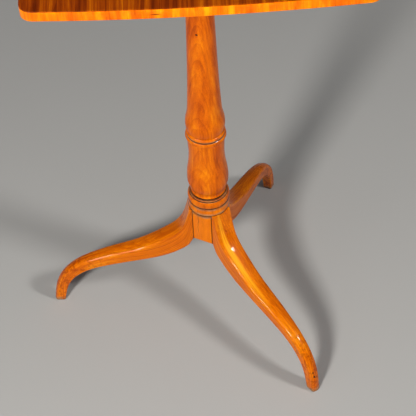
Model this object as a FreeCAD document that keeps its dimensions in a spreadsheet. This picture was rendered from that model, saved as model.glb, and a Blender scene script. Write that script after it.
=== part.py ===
import FreeCAD, Part
import math
import os
import Sketcher

# Tilt-top table: a turned pillar on three swept legs carries a block, and a bowed
# rectangular top tips about two pins in that block. Millimetres, +Z up. The origin is
# the floor point under the pillar's axis, and the left leg points along -X.

DIMENSIONS = {
    # table top
    "table_height": 740.0, "top_width": 371.3, "top_length": 475.2, "top_thickness": 12.4,
    "end_bow": 7.5, "side_bow": 6.0, "top_corner": 14.5, "veneer_thickness": 1.0,
    "banding_thickness": 1.6, "board_joint": 62.0, "glue_gap": 0.02,
    # battens and the pins they turn on
    "batten_length": 300.0, "batten_width": 20.0, "batten_depth": 24.0, "batten_nose": 16.0,
    "batten_screw_reach": 120.0,
    "block_length": 110.0, "block_width": 110.0, "block_depth": 22.0, "block_clearance": 0.2,
    "block_ovolo": 7.0, "batten_gap": 0.6, "pin_radius": 6.0, "pin_running_gap": 0.06,
    "pin_in_block": 16.0, "pin_in_batten": 18.0,
    # pillar
    "hub_radius": 28.5, "hub_bottom": 137.5, "hub_top": 197.3, "scallop_rise": 6.0,
    "scallop_radius": 22.0, "scallop_start": 13.0, "line_depth": 0.9, "line_height": 0.6,
    "band_radius": 28.8, "band_top": 211.9, "upper_band_top": 223.2,
    "upper_band_round": 13.0,
    "upper_band_neck": 27.6, "fillet_radius": 26.6, "fillet_top": 225.7, "neck_radius": 22.8,
    "neck_top": 228.4, "cove_radius": 24.8, "cove_bottom": 228.8, "bulb_foot_radius": 23.7,
    "bulb_foot": 231.4, "bulb_radius": 28.6, "bulb_height": 251.5, "bulb_turn": 0.22,
    "bulb_shoulder_radius": 26.7, "bulb_shoulder": 274.5, "baluster_neck_radius": 24.7,
    "baluster_neck": 312.0, "bead_bottom": 328.6, "bead_foot_radius": 25.4, "bead_top": 336.2,
    "bead_round": 4.4, "bead_groove_radius": 24.7, "flare_radius": 26.2, "flare_bottom": 337.5,
    "flare_shoulder_radius": 26.3, "flare_shoulder": 340.0, "flare_round": 2.6,
    "flare_top_radius": 24.8, "flare_top": 342.4, "waist_radius": 24.5, "waist": 343.2,
    "swell_radius": 26.6, "swell_height": 355.5,
    "swell_shoulder_radius": 25.2, "swell_shoulder": 367.0,
    "swell_end_radius": 22.9, "swell_end": 382.0, "shaft_start_radius": 20.5,
    "shaft_start": 432.0, "shaft_top_radius": 16.8, "tenon_radius": 11.0,
    "kerf_bottom": 1.0, "kerf_top": 3.2, "kerf_depth": 18.0, "wedge_length": 20.9,
    # legs
    "leg_belly_ratio": 0.14, "leg_crown_ratio": 0.045,
    "leg_scribe_gap": 0.05, "dovetail_neck": 11.0, "dovetail_root": 15.0,
    "dovetail_depth": 12.0, "dovetail_top": 186.0, "dovetail_gap": 0.05,
    "azimuth_left": 179.5, "azimuth_front_right": 305.3, "azimuth_back_right": 64.2,
    # iron plate under the pillar
    "plate_thickness": 1.6, "plate_radius": 11.0, "plate_arm": 25.0, "plate_arm_width": 10.0,
    "plate_screw_reach": 21.0,
    # brass slide bolt and keeper
    "keeper_thickness": 1.6, "keeper_width": 36.0, "keeper_height": 14.0,
    "keeper_screw_reach": 13.0,
    "bolt_width": 10.0, "bolt_height": 4.0, "bolt_length": 40.0, "bolt_gap": 0.1,
    "bolt_drop": 7.7, "bolt_standoff": 3.5, "bolt_travel": 10.0, "bolt_mortise": 9.0,
    "case_length": 40.0, "case_width": 16.0, "case_depth": 11.0, "case_standoff": 7.0,
    "flange_thickness": 1.5, "flange_width": 30.0, "flange_overhang": 4.8,
    "case_screw_reach": 14.0, "flange_screw_edge": 3.6, "flange_tail": 6.0,
    "knob_stem": 2.4, "knob_radius": 5.5, "knob_length": 12.0, "knob_reach": 29.0,
    "knob_flat": 2.2, "knob_widest": 9.0, "knob_neck": 6.0, "knob_lower_round": 3.41,
    "knob_upper_round": 4.125,
}

# Leg stations from the pillar to the floor: the section's centre (reach from the
# pillar's axis, height), its lean from vertical in degrees, its depth, its width and
# the round of its shoulders. The root lies inside the hub and is cut away there.
LEG_STATIONS = [
    ("root", 22.3, 181.8, 0.0, 86.6, 30.0, 2.0),
    ("collar", 28.9, 161.9, 0.2, 69.8, 29.8, 2.2),
    ("knee", 37.2, 140.2, 5.5, 44.7, 29.4, 2.6),
    ("thigh", 60.0, 121.3, 11.9, 34.9, 28.2, 3.6),
    ("middle", 99.4, 104.6, 21.4, 26.5, 26.4, 5.0),
    ("shin", 130.7, 96.5, 28.3, 23.6, 24.6, 5.8),
    ("calf", 164.1, 86.9, 37.2, 22.0, 21.4, 5.8),
    ("ankle", 190.8, 75.1, 48.0, 20.2, 18.6, 5.4),
    ("heel", 217.3, 49.2, 65.6, 17.9, 16.2, 5.0),
    ("toe", 231.3, 0.0, 90.0, 15.7, 13.9, 4.6),
]
STATION_FIELDS = ("reach", "height", "lean", "depth", "width", "shoulder")

# Wood screws: head radius, shank radius and length of each size.
SCREW_SIZES = {
    "large": (4.2, 2.2, 30.0),
    "small": (2.6, 1.3, 9.0),
}
SCREW_FIELDS = ("head", "shank", "length")

SLOT_WIDTH = 0.8          # driver slot across a screw head
SCREW_TIP = 0.2           # radius left at a screw's point
OVERRUN = 1.0             # how far a cut runs past the face it opens through
CENTRE_POINT = 3          # the sketcher's number for a curve's centre
HALF_ROUND = 1.001        # radius of a rounded end over half its width
LOCAL_X = FreeCAD.Vector(1, 0, 0)
LOCAL_Y = FreeCAD.Vector(0, 1, 0)
LOCAL_Z = FreeCAD.Vector(0, 0, 1)


class Size(float):
    """A number that keeps the sheet expression it was worked out from."""

    def __new__(cls, value, text=""):
        size = super().__new__(cls, value)
        size.text = text or format(float(value), ".6f")
        return size

    def combine(self, other, value, sign, swapped=False):
        other = other if isinstance(other, Size) else Size(other)
        first, second = (other, self) if swapped else (self, other)
        return Size(value, f"({first.text} {sign} {second.text})")

    def __add__(self, other):
        return self.combine(other, float(self) + float(other), "+")

    def __radd__(self, other):
        return self.combine(other, float(other) + float(self), "+", True)

    def __sub__(self, other):
        return self.combine(other, float(self) - float(other), "-")

    def __rsub__(self, other):
        return self.combine(other, float(other) - float(self), "-", True)

    def __mul__(self, other):
        return self.combine(other, float(self) * float(other), "*")

    def __rmul__(self, other):
        return self.combine(other, float(other) * float(self), "*", True)

    def __truediv__(self, other):
        return self.combine(other, float(self) / float(other), "/")

    def __neg__(self):
        return Size(-float(self), f"(-{self.text})")


doc = FreeCAD.newDocument("TiltTopTable")
sheet = doc.addObject("Spreadsheet::Sheet", "Dimensions")
sub_parts = []


def fill_sheet():
    """Write every driving dimension into the sheet and return it by name."""
    values = dict(DIMENSIONS)
    for station, *numbers in LEG_STATIONS:
        for field, number in zip(STATION_FIELDS, numbers):
            values[f"leg_{station}_{field}"] = number
    for screw, numbers in SCREW_SIZES.items():
        for field, number in zip(SCREW_FIELDS, numbers):
            values[f"{screw}_screw_{field}"] = number
    sizes = {}
    for row, (name, number) in enumerate(values.items(), start=1):
        sheet.set(f"A{row}", name)
        sheet.set(f"B{row}", str(number))
        sheet.setAlias(f"B{row}", name)
        sizes[name] = Size(number, f"{sheet.Name}.{name}")
    doc.recompute()
    return sizes


dim = fill_sheet()

# Heights and places that several pieces share.
top_underside = dim["table_height"] - dim["top_thickness"]
block_top = top_underside - dim["block_clearance"]
block_bottom = block_top - dim["block_depth"]
pivot_height = block_top - dim["block_depth"] / 2
pivot_reach = dim["block_length"] / 2 - dim["block_depth"] / 2
batten_inside = dim["block_width"] / 2 + dim["batten_gap"]
batten_middle = batten_inside + dim["batten_width"] / 2
bolt_height = top_underside - dim["bolt_drop"]
block_face = -(dim["block_length"] / 2)
bolt_tip = block_face - dim["bolt_standoff"]
case_front = block_face - dim["case_standoff"]
knob_place = bolt_tip - dim["knob_reach"]


def bind(feature, name, size):
    """Set a property from a size, through its expression where it has one."""
    if isinstance(size, Size):
        feature.setExpression(name, size.text)
    else:
        setattr(feature, name, size)


def new_body(label):
    body = doc.addObject("PartDesign::Body", label)
    body.Label = label
    sub_parts.append(body)
    return body


def attach(feature, body, role, place=(0, 0, 0), axis=LOCAL_Z, angle=0):
    """Attach to one of the body's own origin planes, shifted and turned within it."""
    planes = {item.Role: item for item in body.Origin.OriginFeatures}
    feature.AttachmentSupport = [(planes[role], "")]
    feature.MapMode = "FlatFace"
    shift = FreeCAD.Vector(*[float(value) for value in place])
    turn = FreeCAD.Rotation(axis, float(angle))
    feature.AttachmentOffset = FreeCAD.Placement(shift, turn)
    for letter, value in zip("xyz", place):
        if isinstance(value, Size):
            feature.setExpression(f"AttachmentOffset.Base.{letter}", value.text)
    if isinstance(angle, Size):
        feature.setExpression("AttachmentOffset.Rotation.Angle", angle.text)
    return feature


def new_sketch(body, name, role="XY_Plane", place=(0, 0, 0), axis=LOCAL_Z, angle=0):
    sketch = body.newObject("Sketcher::SketchObject", name)
    return attach(sketch, body, role, place, axis, angle)


def arc_middle(start, end, tangent=None, radius=None, turn=1):
    """Middle point of an arc from its ends and its first tangent, or its radius."""
    chord = end - start
    across = FreeCAD.Vector(-chord.y, chord.x, 0).normalize()
    half = chord.Length / 2
    if radius is not None:
        sagitta = float(radius) - math.sqrt(float(radius) ** 2 - half ** 2)
        return (start + end) / 2 - across * sagitta * turn
    lean = math.atan2(tangent.x * chord.y - tangent.y * chord.x, tangent.dot(chord))
    return (start + end) / 2 - across * half * math.tan(lean / 2)


def end_tangent(start, middle, end):
    """Direction in which an arc through three points leaves its last point."""
    radial = end - Part.Arc(start, middle, end).toShape().Curve.Center
    tangent = FreeCAD.Vector(-radial.y, radial.x, 0)
    return tangent if tangent.dot(end - middle) > 0 else -tangent


def draw(sketch, steps):
    """Draw one closed outline and fix all of it to the sheet.

    The first step is the start point. Each later one is (kind, x, y): "line", "smooth"
    for an arc tangent to what comes before it, or "arc" with a radius and a turn of
    1 or -1 for the side it bulges to. The last step returns to the start.
    """
    points = [steps[0]] + [step[1:3] for step in steps[1:]]
    vectors = [FreeCAD.Vector(float(x), float(y), 0) for x, y in points]
    ids = []
    tangent = None
    for number, step in enumerate(steps[1:]):
        start, end = vectors[number], vectors[number + 1]
        if step[0] == "line":
            edge = Part.LineSegment(start, end)
            tangent = end - start
        else:
            middle = arc_middle(start, end, tangent, *step[3:])
            edge = Part.Arc(start, middle, end)
            tangent = end_tangent(start, middle, end)
        ids.append(sketch.addGeometry(edge, False))
    ends = []
    for geometry, start in zip(ids, vectors):
        first_is_start = (sketch.getPoint(geometry, 1) - start).Length < 1e-6
        ends.append((1, 2) if first_is_start else (2, 1))
    for number, (geometry, step) in enumerate(zip(ids, steps[1:])):
        before = number - 1
        kind = "Tangent" if step[0] == "smooth" else "Coincident"
        first = ends[number][0]
        sketch.addConstraint(Sketcher.Constraint(kind, ids[before], ends[before][1],
                                                 geometry, first))
        pin_point(sketch, geometry, first, points[number])
        if step[0] == "arc":
            fix(sketch, Sketcher.Constraint("Radius", geometry, float(step[3])), step[3])
    return ids


def fix(sketch, constraint, size):
    """Add a constraint and tie its value to the sheet."""
    index = sketch.addConstraint(constraint)
    if isinstance(size, Size):
        sketch.setExpression(f"Constraints[{index}]", size.text)


def pin_point(sketch, geometry, end, place):
    """Hold one point of a curve at a place measured from the sketch's own origin."""
    for direction, value in zip(("DistanceX", "DistanceY"), place):
        fix(sketch, Sketcher.Constraint(direction, -1, 1, geometry, end, float(value)), value)


def rectangle(sketch, low_x, low_y, high_x, high_y):
    draw(sketch, [(low_x, low_y), ("line", high_x, low_y), ("line", high_x, high_y),
                  ("line", low_x, high_y), ("line", low_x, low_y)])


def circle(sketch, radius, x=0, y=0):
    centre = FreeCAD.Vector(float(x), float(y), 0)
    index = sketch.addGeometry(Part.Circle(centre, LOCAL_Z, float(radius)), False)
    fix(sketch, Sketcher.Constraint("Radius", index, float(radius)), radius)
    pin_point(sketch, index, CENTRE_POINT, (x, y))


def pad(body, sketch, length, midplane=False, reversed_way=False):
    feature = body.newObject("PartDesign::Pad", f"{sketch.Name}Pad")
    feature.Profile = sketch
    feature.Midplane = midplane
    feature.Reversed = reversed_way
    bind(feature, "Length", length)
    return feature


def revolve(body, sketch):
    feature = body.newObject("PartDesign::Revolution", f"{sketch.Name}Turned")
    feature.Profile = sketch
    feature.ReferenceAxis = (sketch, ["V_Axis"])
    feature.Angle = 360
    return feature


def cut(body, kind, name, sizes, place, role="XY_Plane", axis=LOCAL_Z, angle=0):
    """Cut a primitive out of a body and make sure that it took something away."""
    doc.recompute()
    before = body.Shape.Volume
    feature = body.newObject(f"PartDesign::Subtractive{kind}", name)
    attach(feature, body, role, place, axis, angle)
    for label, size in sizes.items():
        bind(feature, label, size)
    doc.recompute()
    if body.Shape.Volume > before - 1e-3:
        raise RuntimeError(f"{body.Label}: {name} cuts nothing")
    return feature


def cut_box(body, name, low, high):
    """Cut an upright box given by its lowest and highest corners."""
    sides = ("Length", "Width", "Height")
    sizes = {side: end - start for side, start, end in zip(sides, low, high)}
    return cut(body, "Box", name, sizes, low)


def drill(body, name, place, radius, depth, role="XY_Plane", axis=LOCAL_Z, angle=0):
    sizes = {"Radius": radius, "Height": depth}
    return cut(body, "Cylinder", name, sizes, place, role, axis, angle)


def bowed_outline(sketch, inset):
    """The top's outline: four shallow bows joined by rounded corners, moved in by inset."""
    half_width = dim["top_width"] / 2 - inset
    half_length = dim["top_length"] / 2 - inset
    end_radius = bow_radius(half_width, dim["end_bow"])
    side_radius = bow_radius(half_length, dim["side_bow"])
    corner = dim["top_corner"] - inset
    end_centre = end_radius - half_length
    side_centre = half_width - side_radius
    tangent_end, tangent_side, middle = corner_points(end_centre, end_radius, side_centre,
                                                      side_radius, corner)
    end_apex = FreeCAD.Vector(0, -float(half_length), 0)
    side_apex = FreeCAD.Vector(float(half_width), 0, 0)

    def flip(point, x_sign, y_sign):
        return FreeCAD.Vector(point.x * x_sign, point.y * y_sign, 0)

    ends = {sign: flip(tangent_end, *sign) for sign in ((1, 1), (1, -1), (-1, -1), (-1, 1))}
    sides = {sign: flip(tangent_side, *sign) for sign in ends}
    arcs = [
        (ends[-1, 1], end_apex, ends[1, 1], end_radius, (0, end_centre)),
        (ends[1, 1], middle, sides[1, 1], corner, None),
        (sides[1, 1], side_apex, sides[1, -1], side_radius, (side_centre, 0)),
        (sides[1, -1], flip(middle, 1, -1), ends[1, -1], corner, None),
        (ends[1, -1], -end_apex, ends[-1, -1], end_radius, (0, -end_centre)),
        (ends[-1, -1], flip(middle, -1, -1), sides[-1, -1], corner, None),
        (sides[-1, -1], -side_apex, sides[-1, 1], side_radius, (-side_centre, 0)),
        (sides[-1, 1], flip(middle, -1, 1), ends[-1, 1], corner, None),
    ]
    ids = [sketch.addGeometry(Part.Arc(start, mid, end), False) for start, mid, end, _, _ in arcs]
    for number, (index, (_, _, _, radius, centre)) in enumerate(zip(ids, arcs)):
        sketch.addConstraint(Sketcher.Constraint("Tangent", ids[number - 1], 2, index, 1))
        fix(sketch, Sketcher.Constraint("Radius", index, float(radius)), radius)
        if centre:
            pin_point(sketch, index, CENTRE_POINT, centre)


def bow_radius(half_chord, rise):
    return (half_chord * half_chord + rise * rise) / (rise * 2)


def corner_points(end_centre, end_radius, side_centre, side_radius, corner):
    """Where a corner arc touches the end bow and the side bow, and its middle point."""
    near = FreeCAD.Vector(0, float(end_centre), 0)
    far = FreeCAD.Vector(float(side_centre), 0, 0)
    near_reach = float(end_radius) - float(corner)
    far_reach = float(side_radius) - float(corner)
    span = far - near
    along = (span.Length ** 2 + near_reach ** 2 - far_reach ** 2) / (2 * span.Length)
    unit = span / span.Length
    height = math.sqrt(near_reach ** 2 - along ** 2)
    across = FreeCAD.Vector(-unit.y, unit.x, 0) * height
    # of the two crossings, the corner's centre is the one at the front right
    choices = [near + unit * along + across, near + unit * along - across]
    centre = max(choices, key=lambda point: point.x - point.y)
    to_end = (centre - near).normalize() * float(corner)
    to_side = (centre - far).normalize() * float(corner)
    middle = (to_end + to_side).normalize() * float(corner)
    return centre + to_end, centre + to_side, centre + middle


def make_top_veneer():
    body = new_body("top_veneer")
    underside = dim["table_height"] - dim["veneer_thickness"]
    sketch = new_sketch(body, "VeneerOutline", place=(0, 0, underside))
    bowed_outline(sketch, Size(0))
    pad(body, sketch, dim["veneer_thickness"])


def make_edge_banding():
    """The strip of crosscut veneer round the edge, under the top veneer."""
    body = new_body("edge_banding")
    sketch = new_sketch(body, "BandingOutline", place=(0, 0, top_underside))
    bowed_outline(sketch, Size(0))
    bowed_outline(sketch, dim["banding_thickness"])
    pad(body, sketch, dim["top_thickness"] - dim["veneer_thickness"])


def make_core_boards():
    """Three boards, glued side by side with the grain running front to back."""
    joint = dim["board_joint"]
    gap = dim["glue_gap"]
    edge = dim["top_width"]
    strips = {
        "core_board_left": [(-joint - gap, edge)],
        "core_board_middle": [(-edge, -joint), (joint, edge)],
        "core_board_right": [(-edge, joint + gap)],
    }
    length = dim["top_length"]
    base = top_underside - OVERRUN
    crown = dim["table_height"] + OVERRUN
    batten_pilot = dim["large_screw_length"] - batten_bite() + OVERRUN
    case_pilot = dim["small_screw_length"] - dim["flange_thickness"] + OVERRUN
    for label, removed in strips.items():
        body = new_body(label)
        sketch = new_sketch(body, f"{label}_outline", place=(0, 0, top_underside))
        bowed_outline(sketch, dim["banding_thickness"] + gap)
        pad(body, sketch, dim["top_thickness"] - dim["veneer_thickness"])
        for number, (low, high) in enumerate(removed):
            cut_box(body, f"{label}_rip_{number}", (low, -length, base), (high, length, crown))
        for number, (x, y) in enumerate(batten_screw_places()):
            if holds(label, x):
                drill(body, f"{label}_pilot_{number}", (x, y, base),
                      dim["large_screw_shank"], batten_pilot)
        for number, (x, y) in enumerate(case_screw_places()):
            if holds(label, x):
                drill(body, f"{label}_case_pilot_{number}", (x, y, base),
                      dim["small_screw_shank"], case_pilot)


def holds(label, x):
    """Whether a core board lies over the place x."""
    joint = float(dim["board_joint"])
    if label == "core_board_left":
        return x < -joint
    if label == "core_board_right":
        return x > joint
    return abs(x) < joint


def batten_screw_places():
    reach = dim["batten_screw_reach"]
    return [(x, y) for y in (-batten_middle, batten_middle) for x in (-reach, Size(0), reach)]


def batten_bite():
    """How much of a batten screw's length is inside the batten, above its sunk head."""
    return dim["batten_depth"] - sunk_head()


def sunk_head():
    return dim["large_screw_head"] / 2


def case_screw_places():
    middle = case_front - dim["case_length"] / 2
    reach = dim["case_screw_reach"]
    side = dim["flange_width"] / 2 - dim["flange_screw_edge"]
    return [(middle + x, y) for x in (-reach, reach) for y in (-side, side)]


def make_battens():
    """Two bearers under the top, flanking the block, with nosed ends and a pivot hole."""
    half = dim["batten_length"] / 2
    depth = dim["batten_depth"]
    nose = dim["batten_nose"]
    for label, side in (("batten_front", -1), ("batten_back", 1)):
        body = new_body(label)
        # the XZ plane's normal is -Y, so the batten's offset along it has its sign turned
        sketch = new_sketch(body, f"{label}_profile", "XZ_Plane", (0, 0, batten_middle * -side))
        draw(sketch, [(-half, top_underside), ("line", -half, top_underside - depth + nose),
                      ("arc", nose - half, top_underside - depth, nose, 1),
                      ("line", half - nose, top_underside - depth),
                      ("arc", half, top_underside - depth + nose, nose, 1),
                      ("line", half, top_underside), ("line", -half, top_underside)])
        pad(body, sketch, dim["batten_width"], midplane=True)
        drill(body, f"{label}_pivot_hole", (pivot_reach, pivot_height, -dim["block_width"]),
              dim["pin_radius"] + dim["pin_running_gap"], dim["block_width"] * 2, "XZ_Plane")
        for number, (x, y) in enumerate(batten_screw_places()):
            if y * side > 0:
                floor = top_underside - depth
                drill(body, f"{label}_clearance_{number}", (x, y, floor - OVERRUN),
                      dim["large_screw_shank"], depth + 2 * OVERRUN)
                countersink(body, f"{label}_sink_{number}", (x, y, floor), "large", sunk_head())


def countersink(body, name, place, size, sink, role="XY_Plane", axis=LOCAL_Z, angle=0):
    """A conical seat for a screw head, sunk by a short counterbore."""
    head = dim[f"{size}_screw_head"]
    shank = dim[f"{size}_screw_shank"]
    x, y, z = place
    if isinstance(sink, Size) and sink > 0:
        drill(body, f"{name}_bore", (x, y, z - OVERRUN), head, sink + OVERRUN, role, axis, angle)
    cut(body, "Cone", name, {"Radius1": head, "Radius2": shank, "Height": head - shank},
        (x, y, z + sink), role, axis, angle)


def make_column():
    """The pillar: leg hub, collar, baluster, bead, tapered shaft and wedged tenon."""
    body = new_body("column")
    hub = dim["hub_radius"]
    line = dim["line_depth"]
    height = dim["line_height"]
    bulb_foot = (dim["bulb_foot_radius"], dim["bulb_foot"])
    bulb_widest = (dim["bulb_radius"], dim["bulb_height"])
    waist = (dim["waist_radius"], dim["waist"])
    swell_widest = (dim["swell_radius"], dim["swell_height"])
    profile = new_sketch(body, "PillarProfile", "XZ_Plane")
    draw(profile, [
        (Size(0), dim["hub_bottom"]),
        ("line", hub, dim["hub_bottom"]),
        ("line", hub, dim["hub_top"]),
        ("line", hub - line, dim["hub_top"] + height / 2),
        ("line", dim["band_radius"], dim["hub_top"] + height),
        ("line", dim["band_radius"], dim["band_top"]),
        ("line", dim["band_radius"] - line, dim["band_top"] + height / 2),
        ("line", dim["band_radius"] - line / 3, dim["band_top"] + height),
        ("arc", dim["upper_band_neck"], dim["upper_band_top"], dim["upper_band_round"], 1),
        ("line", dim["fillet_radius"] - line / 2, dim["upper_band_top"] + height / 3),
        ("line", dim["fillet_radius"], dim["upper_band_top"] + height),
        ("line", dim["fillet_radius"], dim["fillet_top"]),
        ("line", dim["neck_radius"], dim["fillet_top"] + height / 2),
        ("line", dim["neck_radius"], dim["neck_top"]),
        ("line", dim["cove_radius"], dim["cove_bottom"]),
        ("arc", *bulb_foot, upright_round(bulb_foot[1] - dim["cove_bottom"],
                                          dim["cove_radius"] - bulb_foot[0]), -1),
        ("smooth", *part_way(bulb_foot, bulb_widest, dim["bulb_turn"])),
        ("smooth", *bulb_widest),
        ("smooth", dim["bulb_shoulder_radius"], dim["bulb_shoulder"]),
        ("smooth", dim["baluster_neck_radius"], dim["baluster_neck"]),
        ("smooth", dim["baluster_neck_radius"] + line / 3, dim["bead_bottom"] - height / 2),
        ("line", dim["bead_foot_radius"], dim["bead_bottom"]),
        ("arc", dim["bead_foot_radius"], dim["bead_top"], dim["bead_round"], 1),
        ("line", dim["bead_groove_radius"], dim["bead_top"] + height),
        ("line", dim["flare_radius"], dim["flare_bottom"]),
        ("line", dim["flare_shoulder_radius"], dim["flare_shoulder"]),
        ("arc", dim["flare_top_radius"], dim["flare_top"], dim["flare_round"], 1),
        ("line", *waist),
        ("arc", *swell_widest, upright_round(swell_widest[1] - waist[1],
                                             swell_widest[0] - waist[0]), 1),
        ("smooth", dim["swell_shoulder_radius"], dim["swell_shoulder"]),
        ("smooth", dim["swell_end_radius"], dim["swell_end"]),
        ("smooth", dim["shaft_start_radius"], dim["shaft_start"]),
        ("smooth", dim["shaft_top_radius"], block_bottom),
        ("line", dim["tenon_radius"], block_bottom),
        ("line", dim["tenon_radius"], block_top),
        ("line", Size(0), block_top),
        ("line", Size(0), dim["hub_bottom"]),
    ])
    revolve(body, profile)
    cut_leg_slots(body)
    cut_hub_arches(body)
    cut_kerf(body)


def upright_round(rise, run):
    """Radius of an arc that covers this rise and run and is upright at one end."""
    return (rise * rise + run * run) / (run * 2)


def part_way(start, end, share):
    """The point a share of the way along a line, where an S-curve turns over."""
    return [first + (last - first) * share for first, last in zip(start, end)]


LEGS = {
    "leg_left": dim["azimuth_left"],
    "leg_front_right": dim["azimuth_front_right"],
    "leg_back_right": dim["azimuth_back_right"],
}


def cut_leg_slots(body):
    """Dovetail slots, open at the hub's foot, that the three legs slide up into."""
    for label, azimuth in LEGS.items():
        slot = new_sketch(body, f"{label}_slot", place=(0, 0, dim["hub_bottom"]), angle=azimuth)
        dovetail(slot, dim["dovetail_gap"], OVERRUN)
        pocket = body.newObject("PartDesign::Pocket", f"{label}_slot_cut")
        pocket.Profile = slot
        pocket.Reversed = True
        bind(pocket, "Length", dim["dovetail_top"] + dim["dovetail_gap"] - dim["hub_bottom"])
        check_cut(body, pocket)


def check_cut(body, feature):
    """Recompute and make sure that a cut took something away from its body."""
    doc.recompute()
    if body.Shape.Volume > feature.BaseFeature.Shape.Volume - 1e-3:
        raise RuntimeError(f"{body.Label}: {feature.Name} cuts nothing")


def dovetail(sketch, gap, overrun):
    """A dovetail seen from above, its neck at the hub's face and its root nearer the axis."""
    neck = dim["dovetail_neck"] / 2 + gap
    root = dim["dovetail_root"] / 2 + gap
    inside = dim["hub_radius"] - dim["dovetail_depth"] - gap
    outside = dim["hub_radius"] + overrun
    draw(sketch, [(inside, -root), ("line", outside, -neck), ("line", outside, neck),
                  ("line", inside, root), ("line", inside, -root)])


def cut_hub_arches(body):
    """Shallow arches in the hub's lower edge, midway between each two legs."""
    middles = [
        (dim["azimuth_left"] + dim["azimuth_front_right"]) / 2,
        (dim["azimuth_front_right"] + dim["azimuth_back_right"]) / 2 + 180,
        (dim["azimuth_back_right"] + dim["azimuth_left"]) / 2,
    ]
    height = dim["hub_bottom"] + dim["scallop_rise"] - dim["scallop_radius"]
    for number, azimuth in enumerate(middles):
        # a turn about Z, then a quarter turn about Y, lays the cutter out along the azimuth
        turn = FreeCAD.Rotation(LOCAL_Z, float(azimuth)).multiply(FreeCAD.Rotation(LOCAL_Y, 90))
        direction = FreeCAD.Rotation(LOCAL_Z, float(azimuth)).multVec(LOCAL_X)
        start = direction * float(dim["scallop_start"])
        drill(body, f"hub_arch_{number}", (start.x, start.y, height), dim["scallop_radius"],
              dim["hub_radius"], axis=turn.Axis, angle=math.degrees(turn.Angle))


def cut_kerf(body):
    """The saw kerf in the tenon, wider at its mouth, that the wedge spreads."""
    kerf = new_sketch(body, "KerfProfile", "XZ_Plane")
    wedge_outline(kerf, Size(0), OVERRUN)
    pocket = body.newObject("PartDesign::Pocket", "KerfCut")
    pocket.Profile = kerf
    pocket.Type = "ThroughAll"
    pocket.Midplane = True
    check_cut(body, pocket)


def wedge_outline(sketch, gap, overrun):
    taper = (dim["kerf_top"] - dim["kerf_bottom"]) / dim["kerf_depth"] / 2
    low = dim["kerf_bottom"] / 2 - gap
    high = dim["kerf_top"] / 2 - gap + taper * overrun
    floor = block_top - dim["kerf_depth"] + gap
    draw(sketch, [(-low, floor), ("line", low, floor), ("line", high, block_top + overrun),
                  ("line", -high, block_top + overrun), ("line", -low, floor)])


def make_leg(label, azimuth):
    """A swept leg: a loft down to the floor, scribed to the hub, with its dovetail."""
    body = new_body(label)
    sections = [leg_section(body, label, station) for station, *_ in LEG_STATIONS]
    loft = body.newObject("PartDesign::AdditiveLoft", f"{label}_sweep")
    loft.Profile = sections[0]
    loft.Sections = sections[1:]
    drill(body, f"{label}_scribe", (0, 0, 0), dim["hub_radius"] + dim["leg_scribe_gap"],
          dim["table_height"])
    drill(body, f"{label}_collar_trim", (0, 0, dim["hub_top"]), dim["hub_radius"] * 2,
          dim["table_height"])
    tenon = new_sketch(body, f"{label}_dovetail", place=(0, 0, dim["hub_bottom"]))
    dovetail(tenon, Size(0), OVERRUN)
    pad(body, tenon, dim["dovetail_top"] - dim["hub_bottom"])
    drill(body, f"{label}_plate_pilot", (dim["plate_screw_reach"], 0, dim["hub_bottom"] - OVERRUN),
          dim["small_screw_shank"], dim["small_screw_length"] + OVERRUN)
    body.Placement = FreeCAD.Placement(FreeCAD.Vector(), FreeCAD.Rotation(LOCAL_Z, float(azimuth)))
    body.setExpression("Placement.Rotation.Angle", azimuth.text)


def leg_section(body, label, station):
    """A leg's cross-section: rounded shoulders, a slightly crowned back, eased belly corners."""
    reach, height, lean, depth, width, shoulder = [dim[f"leg_{station}_{field}"]
                                                   for field in STATION_FIELDS]
    belly = width * dim["leg_belly_ratio"]
    crown = width * dim["leg_crown_ratio"]
    half = width / 2
    top = depth / 2 - crown
    low = -(depth / 2)
    crown_radius = bow_radius(half - shoulder, crown)
    # the YZ plane's own axes are Y, Z and then X
    sketch = new_sketch(body, f"{label}_{station}", "YZ_Plane", (0, height, reach), LOCAL_X, lean)
    draw(sketch, [(belly - half, low), ("line", half - belly, low),
                  ("arc", half, low + belly, belly, 1),
                  ("line", half, top - shoulder),
                  ("arc", half - shoulder, top, shoulder, 1),
                  ("arc", shoulder - half, top, crown_radius, 1),
                  ("arc", -half, top - shoulder, shoulder, 1),
                  ("line", -half, low + belly),
                  ("arc", belly - half, low, belly, 1)])
    return sketch


def make_block():
    """The block: mortised for the tenon, bored for the pins, rounded about the pivot."""
    body = new_body("block")
    half = dim["block_length"] / 2
    middle = dim["block_depth"] / 2
    ovolo = dim["block_ovolo"]
    profile = new_sketch(body, "BlockProfile", "XZ_Plane")
    draw(profile, [(ovolo - half, block_bottom), ("line", pivot_reach, block_bottom),
                   ("arc", half, pivot_height, middle, 1),
                   ("arc", pivot_reach, block_top, middle, 1),
                   ("line", -half, block_top), ("line", -half, block_bottom + ovolo),
                   ("arc", ovolo - half, block_bottom, ovolo, 1)])
    pad(body, profile, dim["block_width"], midplane=True)
    drill(body, "TenonMortise", (0, 0, block_bottom - OVERRUN),
          dim["tenon_radius"] + dim["glue_gap"], dim["block_depth"] + 2 * OVERRUN)
    side = dim["block_width"] / 2
    for number, end in enumerate((-side - OVERRUN, side - dim["pin_in_block"])):
        drill(body, f"PinHole{number}", (pivot_reach, pivot_height, end),
              dim["pin_radius"] + dim["glue_gap"], dim["pin_in_block"] + OVERRUN, "XZ_Plane")
    half_width = window_half_width()
    half_height = window_half_height()
    cut_box(body, "BoltMortise",
            (block_face - OVERRUN, -half_width, bolt_height - half_height),
            (block_face + dim["bolt_mortise"], half_width, bolt_height + half_height))
    pilot = dim["small_screw_length"] - dim["keeper_thickness"] + OVERRUN
    for number, y in enumerate(keeper_screw_places()):
        drill(body, f"KeeperPilot{number}", (y, bolt_height, block_face - OVERRUN),
              dim["small_screw_shank"], pilot, "YZ_Plane")


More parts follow.
